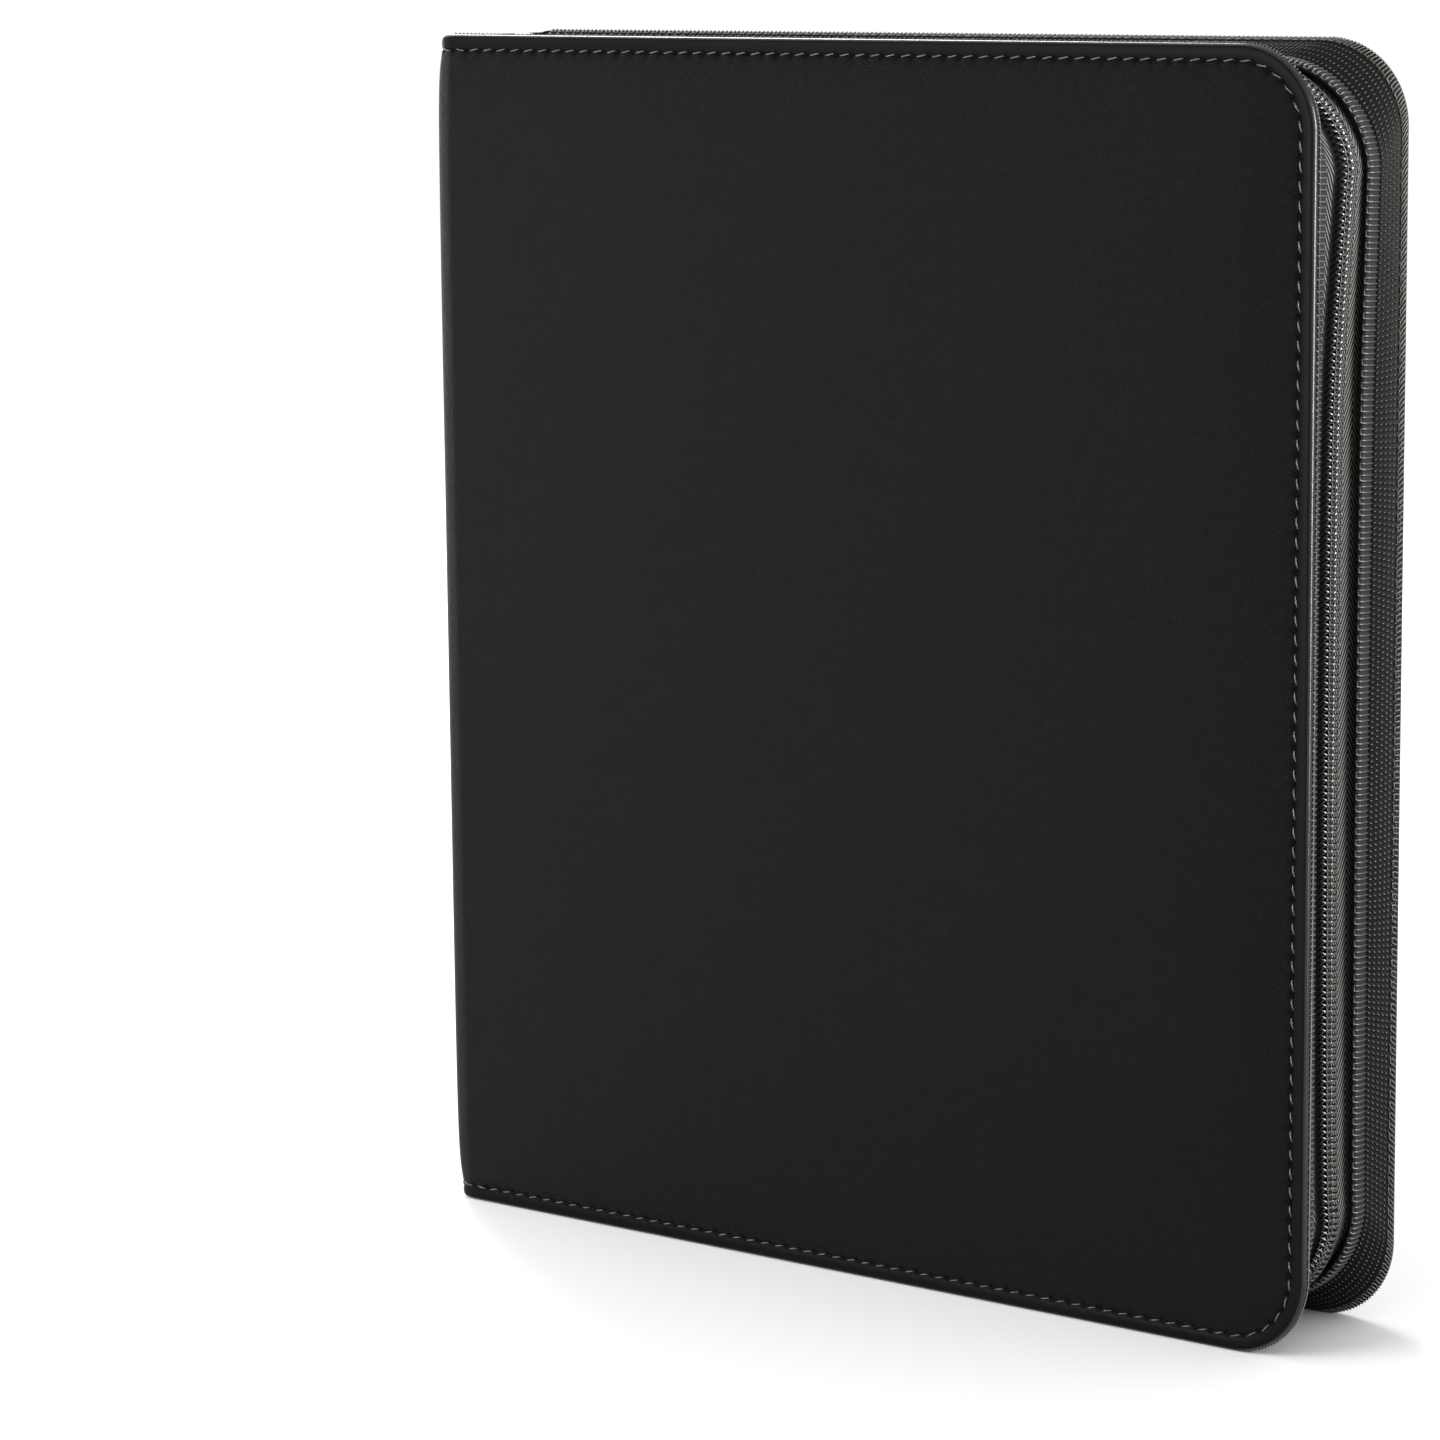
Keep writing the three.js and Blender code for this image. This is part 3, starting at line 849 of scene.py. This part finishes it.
def binding(side):
    """Folded tape on the gusset's inner edge, whipped over with thread."""
    near = rib_low.y
    far = rib_high.y
    lip = 4.45 * MM
    inset = np.array([6.2 * MM, 5.9 * MM, 5.3 * MM, lip + 0.15 * MM, lip, lip, lip, 4.9 * MM, 6.2 * MM])
    y = np.array([near + 0.5 * MM, near + 0.1 * MM, near, near + 0.35 * MM, near + 1.1 * MM, (near + far) / 2,
                  far - 0.3 * MM, far + 0.4 * MM, far + 0.2 * MM])
    t = mixed_stations(4 * MM, 28)
    draw = pull(t, side)[:, None] * GUSSET_SHARE
    points = sweep(t, inset[None, :] + draw, y[None, :], ZIP_CORNER, GUSSET_START)
    piece = add_sweep(f"{side}_binding", points, binding_cloth, side)
    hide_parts(f"{side}_gusset_binding")
    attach(piece, f"{side}_cover")
    over = np.stack([inset[2:8] - 0.12 * MM, y[2:8] - np.array([0.1, 0.05, 0, 0, 0, 0]) * MM], axis=-1)
    looped_thread(f"{side}_whip", side, over, np.full(len(over), ZIP_CORNER), WHIP_PITCH, WHIP_THREAD,
                  binding_thread, GUSSET_SHARE)
    _, web_inset, web_y, web_base = web_section()
    edge = np.stack([web_inset[:4] - 0.16 * MM, web_y[:4] - 0.05 * MM], axis=-1)
    edge = np.concatenate([[(0.5 * MM, web_y[0] + 0.35 * MM)], edge])
    bases = np.concatenate([web_base[:1], web_base[:4]])
    looped_thread(f"{side}_edge_stitch", side, edge, bases, EDGE_PITCH, EDGE_THREAD, edge_thread, 0.0)


TAPE_INSET = 7.2 * MM
TAPE_THICKNESS = 0.6 * MM
# The line on which the tape's length is measured
TAPE_LINE = 7 * MM


def tape_weight(y):
    """How much of the zip's pull a place on the tape follows."""
    return 1 - 0.62 * np.clip((y - 3.3 * MM) / (12 * MM), 0, 1) ** 1.5


def zip_tape(side):
    low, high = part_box("back_zip_tape")
    y = np.linspace(low.y + 0.2 * MM, high.y + 1.2 * MM, 15)
    dish = 0.5 * MM * np.sin(np.linspace(0, math.pi, len(y)))
    near = TAPE_INSET + dish
    inset = np.concatenate([near, near[::-1] + TAPE_THICKNESS])
    ys = np.concatenate([y, y[::-1]])
    t = mixed_stations(3 * MM, 28)
    draw = pull(t, side)[:, None] * tape_weight(ys)[None, :]
    points = sweep(t, inset[None, :] + draw, ys[None, :], ZIP_CORNER, ZIP_START)
    uv = run_uv(t, section_lengths(inset, ys), TAPE_LINE, ZIP_CORNER, ZIP_START)
    piece = add_sweep(f"{side}_tape", points, tape_cloth, side, uv)
    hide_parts(f"{side}_zip_tape")
    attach(piece, f"{side}_cover")
    length = run_length(TAPE_LINE, ZIP_CORNER, ZIP_START)[1][-1]


COIL_CENTRE_Y = 1.5 * MM
COIL_INSET = 5.85 * MM
COIL_HALF_WIDTH = 1.75 * MM
COIL_HALF_DEPTH = 0.88 * MM
COIL_THREAD = 0.37 * MM
COIL_SEAM_INSET = 4.8 * MM
COIL_SEAM_Y = 2.35 * MM
COIL_SEAM_THREAD = 0.17 * MM


def zip_coil(side):
    """A flattened helix of nylon monofilament. The two sides are half a pitch apart, so they mesh."""
    steps = 14
    offset = 0.0 if side == "back" else COIL_PITCH / 2
    t = spaced(COIL_PITCH / steps, COIL_INSET, ZIP_CORNER, ZIP_START, offset)
    turn = 2 * math.pi * np.arange(len(t)) / steps
    flat_y = np.sign(np.cos(turn)) * np.abs(np.cos(turn)) ** 0.8
    y = COIL_CENTRE_Y - COIL_HALF_WIDTH * flat_y
    inset = COIL_INSET - COIL_HALF_DEPTH * np.sin(turn) + pull(t, side)
    part = turn / (2 * math.pi) % 1
    upright = 0.15 if side == "front" else 0.9
    t = t + upright * (np.abs(part - 0.5) - 0.25) * steps * np.gradient(t)
    line, inward = run_line(t, inset, y, ZIP_CORNER, ZIP_START)
    out = -inward * np.sin(turn)[:, None]
    out[:, 1] = np.cos(turn)
    piece = add_tube(f"{side}_coil", line, out, COIL_THREAD, coil_nylon, side, 7)
    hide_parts(f"{side}_zip_coil")
    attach(piece, f"{side}_cover")
    t = spaced(COIL_PITCH / 4, COIL_INSET, ZIP_CORNER, ZIP_START, offset)
    dip = 0.10 * MM * np.cos(2 * math.pi * np.arange(len(t)) / 4)
    drawn = COIL_SEAM_INSET + dip + pull(t, side)
    line, inward = run_line(t, drawn, COIL_SEAM_Y, ZIP_CORNER, ZIP_START)
    seam = add_tube(f"{side}_coil_stitch", line, -inward, COIL_SEAM_THREAD, binding_thread, side)
    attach(seam, f"{side}_cover")


# ---------------------------------------------------------------- linings

lining_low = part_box("back_cover_lining")[0]
spine_lining_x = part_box("spine_lining")[1].x
strip_low, strip_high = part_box("leaf_strip")

# Across a lining's edge: (inset from the cover's outline, depth under its face). It wraps the board and goes
# into the gusset's seam.
LINING_EDGE = np.array([(1.2, 2.55), (4.0, 2.45), (4.3, 2.1), (4.4, 1.1), (4.7, 0.6), (5.4, 0.25),
                        (6.2, 0.08), (7.5, 0.0), (12.0, -0.05), (30.0, -0.08)]) * MM
LINING_SPINE_END = (spine_lining_x, HINGE_Y - 3.1 * MM)
LINING_COVER_END = (spine_lining_x + 1.5 * MM, lining_low.y - 0.1 * MM)


def cover_lining(side):
    inset, depth = LINING_EDGE.T
    t = mixed_stations(6 * MM, 16)
    base = np.maximum(COVER_CORNER, inset + 3 * MM)[None, :]
    points = sweep(t, inset[None, :], (LINING_COVER_END[1] + depth)[None, :], base, LINING_COVER_END[0])
    flat = points.reshape(-1, 3)
    piece = add_mesh(f"{side}_lining", on_side(flat, side), panel_faces(*points.shape[:2]), lining_cloth,
                     uv=flat[:, [0, 2]])
    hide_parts(f"{side}_cover_lining")
    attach(piece, f"{side}_cover")
    return piece


def upright_lining(name, path, outward):
    """A lining strip over the whole height along a path of (x, y) places with their outward directions."""
    inset, depth = LINING_EDGE.T
    z = np.concatenate([inset, HEIGHT - inset[::-1]])
    depth = np.concatenate([depth, depth[::-1]])
    rows = [np.stack([x + out_x * depth, y + out_y * depth, z], axis=-1)
            for (x, y), (out_x, out_y) in zip(path, outward)]
    points = np.array(rows)
    flat = points.reshape(-1, 3)
    piece = add_mesh(name, flat, grid_faces(len(rows), len(z)), lining_cloth, uv=flat[:, [1, 2]])
    return piece


def linings():
    """Both covers' linings, the spine's, and the two soft corners at the hinges."""
    reach = LINING_SPINE_END[1]
    path = [(spine_lining_x, y) for y in np.linspace(-reach, reach, 9)]
    middle = upright_lining("spine_cloth", path, [(-1.0, 0.0)] * len(path))
    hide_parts("spine_lining")
    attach(middle, "spine")
    for side, sign in SIGNS.items():
        (spine_x, spine_y), (cover_x, cover_y) = LINING_SPINE_END, LINING_COVER_END
        angles = np.linspace(0, math.pi / 2, 11)
        across, deep = cover_x - spine_x, cover_y - spine_y
        path = [(cover_x - across * math.cos(a), sign * (spine_y + deep * math.sin(a))) for a in angles]
        outward = [(-math.cos(a), sign * math.sin(a)) for a in angles]
        corner = upright_lining(f"{side}_lining_bend", path, outward)
        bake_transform(corner)
        panel = cover_lining(side)


# ---------------------------------------------------------------- leaves

leaf_low, leaf_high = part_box("leaf_01")
LEAVES = sum(1 for joint in frame["joints"] if joint["name"].startswith("leaf_"))
LEAF_PITCH = (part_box(f"leaf_{LEAVES:02d}")[0].y - leaf_low.y) / (LEAVES - 1)
LEAF_START = leaf_low.x + 2 * MM

POCKET_WIDTH = 72 * MM
POCKET_HEIGHT = 95 * MM
COLUMN_GAP = 2.4 * MM
ROW_GAP = 1.2 * MM
OUTER_BORDER = 1.2 * MM
POCKET_X = [leaf_high.x - OUTER_BORDER - POCKET_WIDTH - k * (POCKET_WIDTH + COLUMN_GAP) for k in (2, 1, 0)]
POCKET_Z = [(leaf_low.z + leaf_high.z) / 2 + (k - 1) * (POCKET_HEIGHT + ROW_GAP) - POCKET_HEIGHT / 2
            for k in (0, 1, 2)]
WELD_HALF = 0.28 * MM
POCKET_SWELL = 0.20 * MM
FILM_WAVE = 0.20 * MM
FILM_PUFF = 0.07 * MM
WAVE_SEED, PUFF_SEED = 40, 90
ROOT_HALF = 0.22 * MM
SEAM_PITCH = 1.6 * MM
SEAM_SWING = 0.62 * MM
SEAM_THREAD = 0.2 * MM


def grid_lines(low, high, starts, size, steps):
    """Grid lines between two ends, close together at every pocket's edges."""
    part = 0.5 - 0.5 * np.cos(np.linspace(0, math.pi, steps + 1))
    lines = np.concatenate([[low, low + 4 * MM, high]] + [start + size * part for start in starts])
    return np.unique(np.round(lines, 6))


def swell(lines, starts, size):
    """0 outside the pockets and at their welds, rising to 1 inside."""
    rise = np.zeros(len(lines))
    for start in starts:
        part = np.clip((lines - start) / size, 0, 1)
        rise = np.maximum(rise, (4 * part * (1 - part)) ** 0.4)
    return rise


def wrinkles(x, z, seed):
    """Soft waves in the film, from -1 to 1, different in every leaf."""
    chance = np.random.default_rng(seed)
    lift = np.zeros(np.broadcast(x, z).shape)
    for _ in range(8):
        angle = chance.normal(0.0, 0.7)
        pitch = chance.uniform(13, 42) * MM
        phase, bow = chance.uniform(0, 2 * math.pi, 2)
        way = x * math.cos(angle) + z * math.sin(angle)
        side_way = z * math.cos(angle) - x * math.sin(angle)
        lift = lift + np.sin(2 * math.pi * way / pitch + phase + 0.9 * np.sin(side_way * 60 + bow))
    return lift / 8


def leaf(number):
    """One page: three by three pockets of film, the welds between them, and a woven margin at its root.
    The two that face each other in the open binder have a finer grid."""
    facing = (LEAVES // 2, LEAVES // 2 + 1)
    steps = 22 if number in facing else 12
    x = grid_lines(LEAF_START, leaf_high.x, POCKET_X, POCKET_WIDTH, steps)
    z = grid_lines(leaf_low.z, leaf_high.z, POCKET_Z, POCKET_HEIGHT, steps)
    film = np.outer(swell(x, POCKET_X, POCKET_WIDTH), swell(z, POCKET_Z, POCKET_HEIGHT))
    grid_x, grid_z = np.meshgrid(x, z, indexing="ij")
    y = leaf_low.y + (leaf_high.y - leaf_low.y) / 2 + LEAF_PITCH * (number - 1)
    wave = FILM_WAVE * film * wrinkles(grid_x, grid_z, WAVE_SEED + number)
    puff = FILM_PUFF * film * wrinkles(grid_x, grid_z, PUFF_SEED + number)
    half = WELD_HALF + POCKET_SWELL * film + puff
    points, faces = slab(np.stack([grid_x, y + wave, grid_z], axis=-1), half)
    x_mid, z_mid = np.meshgrid((x[:-1] + x[1:]) / 2, (z[:-1] + z[1:]) / 2, indexing="ij")
    in_x = np.any([(x_mid > s) & (x_mid < s + POCKET_WIDTH) for s in POCKET_X], axis=0)
    in_z = np.any([(z_mid > s) & (z_mid < s + POCKET_HEIGHT) for s in POCKET_Z], axis=0)
    kinds = np.where(in_x & in_z, 0, np.where(in_x, 1, 2)).ravel()
    slots = np.concatenate([kinds, kinds, np.full(len(faces) - 2 * len(kinds), 2)])
    piece = add_mesh(f"page_{number:02d}", points, faces, [page_film, page_weld, page_cloth],
                     uv=points[:, [0, 2]], slots=slots)
    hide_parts(f"leaf_{number:02d}")
    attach(piece, f"leaf_{number:02d}")
    root = leaf_root(number, y)


def leaf_root(number, y):
    """The cloth that joins a leaf to the strip on the spine."""
    x = np.linspace(strip_high.x - 0.1 * MM, LEAF_START + 0.8 * MM, 14)
    z = np.linspace(leaf_low.z + 0.3 * MM, leaf_high.z - 0.3 * MM, 30)
    grid_x, grid_z = np.meshgrid(x, z, indexing="ij")
    middle = np.stack([grid_x, np.full_like(grid_x, y), grid_z], axis=-1)
    points, faces = slab(middle, ROOT_HALF)
    piece = add_mesh(f"page_root_{number:02d}", points, faces, page_cloth, uv=points[:, [0, 2]])
    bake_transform(piece)
    return piece


def gutter():
    """The woven strip that holds the leaves, with a zig-zag seam down its middle."""
    y = np.linspace(strip_low.y, strip_high.y, 34)
    z = np.linspace(strip_low.z, strip_high.z, 60)
    grid_y, grid_z = np.meshgrid(y, z, indexing="ij")
    middle = np.stack([np.full_like(grid_y, (strip_low.x + strip_high.x) / 2), grid_y, grid_z], axis=-1)
    points, faces = slab(middle, (strip_high.x - strip_low.x) / 2)
    cloth = add_mesh("gutter_cloth", points, faces, strip_cloth, uv=points[:, [1, 2]])
    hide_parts("leaf_strip")
    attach(cloth, "spine")
    turns = np.arange(strip_low.z + 3 * MM, strip_high.z - 3 * MM, SEAM_PITCH)
    count = len(turns)
    swing = SEAM_SWING * (-1.0) ** np.arange(count)
    line = np.stack([np.full(count, strip_high.x + 0.12 * MM), swing, turns], axis=-1)
    seam = add_tube("gutter_seam", line, np.tile((1.0, 0.0, 0.0), (count, 1)), SEAM_THREAD, edge_thread)
    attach(seam, "spine")


# ---------------------------------------------------------------- zip ends

END_HALF = 7 * MM
END_REACH = 14.7 * MM
END_HALF_THICKNESS = 0.28 * MM
PLEAT_HEIGHT = 0.5 * MM


def pleats(x, y):
    """Height of the gathered cloth at the zip's end: folds along the zip that die out at the gusset."""
    fade = 1 - np.clip((np.abs(y) - 8 * MM) / (6 * MM), 0, 1)
    bend = 0.5 * np.sin((x - SPINE_X) * 330)
    folds = np.sin(np.abs(y) / (1.25 * MM) * math.pi / 1.3 + bend)
    return PLEAT_HEIGHT * fade * folds * np.exp(-((x - SPINE_X) / (26 * MM)) ** 2)


def end_cloth(name, low_y, high_y, top):
    """A piece of the gathered cloth at the head, or at the tail, between two distances from the middle."""
    end_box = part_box("zip_end_top")
    x = np.linspace(spine_lining_x + 0.1 * MM, end_box[1].x + 0.4 * MM, 16)
    y = np.linspace(low_y, high_y, max(25, int(abs(high_y - low_y) / (0.3 * MM))))
    grid_x, grid_y = np.meshgrid(x, y, indexing="ij")
    z = end_box[0].z - 0.15 * MM + pleats(grid_x, grid_y)
    z = z if top else HEIGHT - z
    points, faces = slab(np.stack([grid_x, grid_y, z], axis=-1), END_HALF_THICKNESS)
    piece = add_mesh(name, points, faces, strip_cloth, uv=points[:, :2])
    return piece


def zip_ends():
    for end, top in (("top", True), ("bottom", False)):
        middle = end_cloth(f"end_cloth_{end}", -END_HALF, END_HALF, top)
        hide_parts(f"zip_end_{end}")
        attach(middle, "spine")
        for side, sign in SIGNS.items():
            fan = end_cloth(f"end_fan_{end}_{side}", sign * END_HALF, sign * END_REACH, top)
            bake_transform(fan)


# ---------------------------------------------------------------- slider and pull

slider_low, slider_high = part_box("zip_slider")
pull_low, pull_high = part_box("zip_pull")
BRIDGE_RISE = 2.8 * MM
PLATE_TOP = slider_high.z - BRIDGE_RISE
PLATE_UNDER = PLATE_TOP - 1.1 * MM
SLIDER_WALL = 0.7 * MM
# Half the slider's width in millimetres at its narrow end, how much wider the mouth is, and where it opens
SLIDER_HALF = 4.52
MOUTH_FLARE = 0.20
MOUTH_AT = 5.6
EYE_LENGTH = 8 * MM
EYE_WIDTH = 5 * MM


def slider_section(half_width, shrink):
    """(y, z) round the slider's channel section, with rounded edges."""
    w = half_width - shrink
    inner = half_width - SLIDER_WALL
    wall = w - inner
    top = PLATE_TOP - shrink
    low = slider_low.z + shrink
    plate = [(0.0, top + 0.12 * MM), (w * 0.5, top + 0.09 * MM), (w - 0.5 * MM, top),
             (w - 0.15 * MM, top - 0.15 * MM), (w, top - 0.5 * MM)]
    lip = [(w, low + 0.35 * MM), (w - 0.17 * wall, low + 0.1 * MM), (w - 0.5 * wall, low),
           (w - 0.8 * wall, low + 0.05 * MM), (inner, low + 0.3 * MM)]
    inside = [(inner, PLATE_UNDER - 0.25 * MM), (inner - 0.08 * MM, PLATE_UNDER - 0.05 * MM),
              (inner - 0.5 * MM, PLATE_UNDER + shrink), (0.0, PLATE_UNDER + shrink)]
    right = plate + lip + inside
    left = [(-y, z) for y, z in reversed(right[1:-1])]
    return right + left


def slider_body():
    """The channel loft, widest at the mouth end, and the arched bridge over the pull's bar."""
    length = slider_high.x - slider_low.x
    stations = [(0.0, 0.45), (0.12, 0.18), (0.35, 0.0)] + [(s, 0.0) for s in np.linspace(1.2, 8.8, 12)]
    stations += [(length / MM - 0.35, 0.0), (length / MM - 0.12, 0.18), (length / MM, 0.45)]
    rows = []
    for along, shrink in stations:
        wide = SLIDER_HALF + MOUTH_FLARE / (1 + math.exp((along - MOUTH_AT) * 1.6))
        rows.append([(slider_low.x + along * MM, y, z) for y, z in slider_section(wide * MM, shrink * MM)])
    body = add_sweep("slider_body", np.array(rows), nickel)
    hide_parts("zip_slider")
    along = np.array([1.3, 1.45, 1.7, 2.2, 3.0, 4.2, 5.8, 7.4, 8.6, 9.3, 9.65, 9.8, 9.85]) * MM
    above = np.array([-0.4, 0.5, 1.3, 1.9, 2.25, 2.38, 2.4, 2.38, 2.2, 1.8, 1.2, 0.4, -0.4]) * MM
    arch_x = slider_low.x + along
    arch_z = PLATE_TOP + above
    line = np.stack([arch_x, np.zeros_like(arch_x), arch_z], axis=-1)
    bridge = band("slider_bridge", line, 1.7 * MM, 0.8 * MM)
    for piece in (body, bridge):
        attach(piece, "zip_slider")


def band(name, line, width, thick):
    """A flat bar with rounded edges along a line in the middle plane."""
    along = np.gradient(line, axis=0)
    along /= np.linalg.norm(along, axis=1)[:, None]
    out = np.cross(along, (0.0, 1.0, 0.0))
    edge = 0.28 * thick
    ring = [(-1, -1), (-1, 1), (1, 1), (1, -1)]
    section = []
    for a, b in ring:
        first = (a * width / 2, b * (thick / 2 - edge))
        second = (a * (width / 2 - edge), b * thick / 2)
        section += [first, second] if a * b < 0 else [second, first]
    points = np.array([[p + np.array((0.0, s, 0.0)) + o * h for s, h in section] for p, o in zip(line, out)])
    return add_sweep(name, points, nickel)


def pull_outline(angle, eye_x):
    """The pull's outer edge on a ray from the eye's middle: a tapering tongue with a round tip."""
    length = pull_high.x - pull_low.x
    far = pull_high.x - eye_x
    near = eye_x - pull_low.x
    reach = np.linspace(0.2 * MM, far, 1500)
    x = reach[None, :] * np.cos(angle)[:, None]
    y = np.abs(reach[None, :] * np.sin(angle)[:, None])
    part = (x + near) / length
    half = (4.0 - 0.5 * np.clip(part, 0, 1)) * MM
    tip = 3.5 * MM
    round_tip = np.sqrt(np.clip(1 - ((x - (far - tip)) / tip).clip(0, 1) ** 2, 0, 1))
    heel = np.sqrt(np.clip(1 - ((-(near - 1.2 * MM) - x) / (1.2 * MM)).clip(0, 1) ** 2 * 0.98, 0, 1))
    heel_half = half - 1.2 * MM * (1 - heel)
    inside = (y <= np.minimum(half * round_tip, heel_half)) & (x >= -near) & (x <= far)
    last = np.argmax(~inside, axis=1)
    last = np.where(inside.all(axis=1), len(reach) - 1, last - 1)
    return reach[np.maximum(last, 0)]


def zip_pull():
    """A flat tongue with a square eye, its edges rounded and its face sunk inside a narrow rim."""
    middle_z = (pull_low.z + pull_high.z) / 2
    half = (pull_high.z - pull_low.z) / 2
    eye_x = pull_low.x + 1.2 * MM + EYE_LENGTH / 2
    angle = np.sort(np.concatenate([np.linspace(0, 2 * math.pi, 120, endpoint=False),
                                    np.linspace(-0.25, 0.25, 60) % (2 * math.pi)]))
    half_length, half_width = EYE_LENGTH / 2, EYE_WIDTH / 2
    squared = np.abs(np.cos(angle) / half_length) ** 7 + np.abs(np.sin(angle) / half_width) ** 7
    inner = squared ** (-1 / 7)
    outer = pull_outline(angle, eye_x)
    wide = outer - inner
    edge = np.minimum(0.3 * MM, wide * 0.2)
    rim = np.minimum(0.85 * MM, wide * 0.36)
    ring = [(inner, half - edge), (inner + edge, half), (inner + rim, half),
            (inner + rim * 1.2, half - 0.14 * MM), (outer - rim * 1.2, half - 0.14 * MM),
            (outer - rim, half), (outer - edge, half),
            (outer, half - edge), (outer, edge - half), (outer - edge, -half), (inner + edge, -half),
            (inner, edge - half)]
    rows = []
    for radius, height in ring:
        height = np.broadcast_to(height, radius.shape)
        x = eye_x + radius * np.cos(angle)
        rows.append(np.stack([x, radius * np.sin(angle), middle_z + height], axis=-1))
    points = np.transpose(np.array(rows), (1, 0, 2))
    count, columns = points.shape[:2]
    faces = grid_faces(count + 1, columns, closed=True) % (count * columns)
    piece = add_mesh("pull_tongue", points.reshape(-1, 3), faces, nickel)
    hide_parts("zip_pull")
    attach(piece, "zip_pull")


for side_name in SIGNS:
    cover_leather(side_name)
    cover_stitches(side_name)
    gusset(side_name)
    binding(side_name)
    zip_tape(side_name)
    zip_coil(side_name)
spine_leathers()
linings()
for core, finish in (("foam", foam_core), ("board", board_core)):
    for owner in ("back_cover", "front_cover", "spine"):
        bpy.data.objects[f"{owner}_{core}"].data.materials[0] = finish
gutter()
for leaf_number in range(1, LEAVES + 1):
    leaf(leaf_number)
zip_ends()
slider_body()
zip_pull()


# ---------------------------------------------------------------- stage

def add_floor():
    floor, tree, shader = new_material("floor")
    haze = noise(tree, place(tree), 3.0, 3.0)
    tree.links.new(ramp(tree, haze, [(0.2, (0.875, 0.875, 0.875)), (0.8, (0.885, 0.885, 0.885))]),
                   shader.inputs["Base Color"])
    shader.inputs["Roughness"].default_value = 0.9
    shader.inputs["Specular IOR Level"].default_value = 0.1
    half = 12.0
    corners = [(-half, -half, 0), (half, -half, 0), (half, half, 0), (-half, half, 0)]
    plane = add_mesh("floor", corners, [(0, 1, 2, 3)], floor)
    return plane


def add_area(name, place_at, aim, size, power, size_y=None):
    """A rectangular lamp of a width and height, aimed at a place."""
    light = bpy.data.lights.new(name, "AREA")
    light.shape = "RECTANGLE"
    light.size = size
    light.size_y = size_y or size
    light.energy = power
    lamp = bpy.data.objects.new(name, light)
    lamp.location = place_at
    lamp.rotation_euler = (Vector(aim) - Vector(place_at)).to_track_quat("-Z", "Y").to_euler()
    bpy.context.scene.collection.objects.link(lamp)
    return lamp


def add_world(strength):
    world = bpy.data.worlds.new("studio")
    world.use_nodes = True
    background = world.node_tree.nodes["Background"]
    background.inputs["Color"].default_value = (1, 1, 1, 1)
    background.inputs["Strength"].default_value = strength
    bpy.context.scene.world = world


CAMERA_AT = (0.7288, -1.020, 0.3543)
CAMERA_LENS = 122.2
YAW, PITCH, ROLL = math.radians(37.69), math.radians(9.51), math.radians(-0.57)


def add_camera():
    """A long lens from the front right, a little above the middle, looking slightly down."""
    camera = bpy.data.cameras.new("camera")
    camera.sensor_width = 36
    camera.lens = CAMERA_LENS
    camera.clip_start = 0.05
    camera.clip_end = 60
    view = bpy.data.objects.new("camera", camera)
    aim = Matrix.Rotation(YAW, 4, "Z") @ Matrix.Rotation(math.pi / 2 - PITCH, 4, "X")
    view.matrix_world = Matrix.Translation(CAMERA_AT) @ aim @ Matrix.Rotation(ROLL, 4, "Z")
    bpy.context.scene.collection.objects.link(view)
    bpy.context.scene.camera = view


def only_on(lamp, pieces):
    """Keep a light to some pieces."""
    chosen = bpy.data.collections.new(f"lit_by_{lamp.name}")
    for piece in pieces:
        chosen.objects.link(piece)
    lamp.light_linking.receiver_collection = chosen


# Each lamp shapes one thing. Those that would wash the floor's shadow, or grey the leather that they graze,
# are kept to other pieces.
binder = [piece for piece in bpy.context.scene.objects if piece.type == "MESH"]
leathers = [piece for piece in binder if leather.name in piece.data.materials]
others = [piece for piece in binder if piece not in leathers]
rear = [piece for piece in leathers if piece.name.startswith(("back", "spine"))]
near = [piece for piece in leathers if piece not in rear]
floor_plane = add_floor()
add_world(1.15)
centre = Vector((0, 0, HEIGHT / 2))
key = add_area("right", (0.95, 0.05, 0.62), (0.12, 0, 0.2), 0.5, 34, size_y=0.9)
line = add_area("line", (0.98, 0.06, 0.33), (0.13, -0.02, 0.20), 0.12, 20, size_y=0.6)
rim = add_area("rim", (-1.25, 0.10, 0.25), (-0.13, 0, 0.16), 0.5, 6, size_y=0.6)
edge = add_area("edge", (-0.35, -1.3, 0.12), centre, 0.25, 15, size_y=0.8)
brow = add_area("brow", (-0.95, -1.25, 0.75), (0, 0, 0.3), 0.5, 5)
back = add_area("back_left", (-1.3, 1.1, 1.45), centre, 0.7, 22, size_y=0.5)
fill = add_area("floor_fill", (-0.55, -1.3, 0.9), (0, -0.1, 0), 0.9, 16)
for lamp in (rim, edge, brow):
    only_on(lamp, binder)
only_on(key, others)
only_on(line, near)
only_on(back, others + near + [floor_plane])
only_on(fill, [floor_plane])
add_camera()
bpy.context.scene.view_settings.view_transform = "Standard"
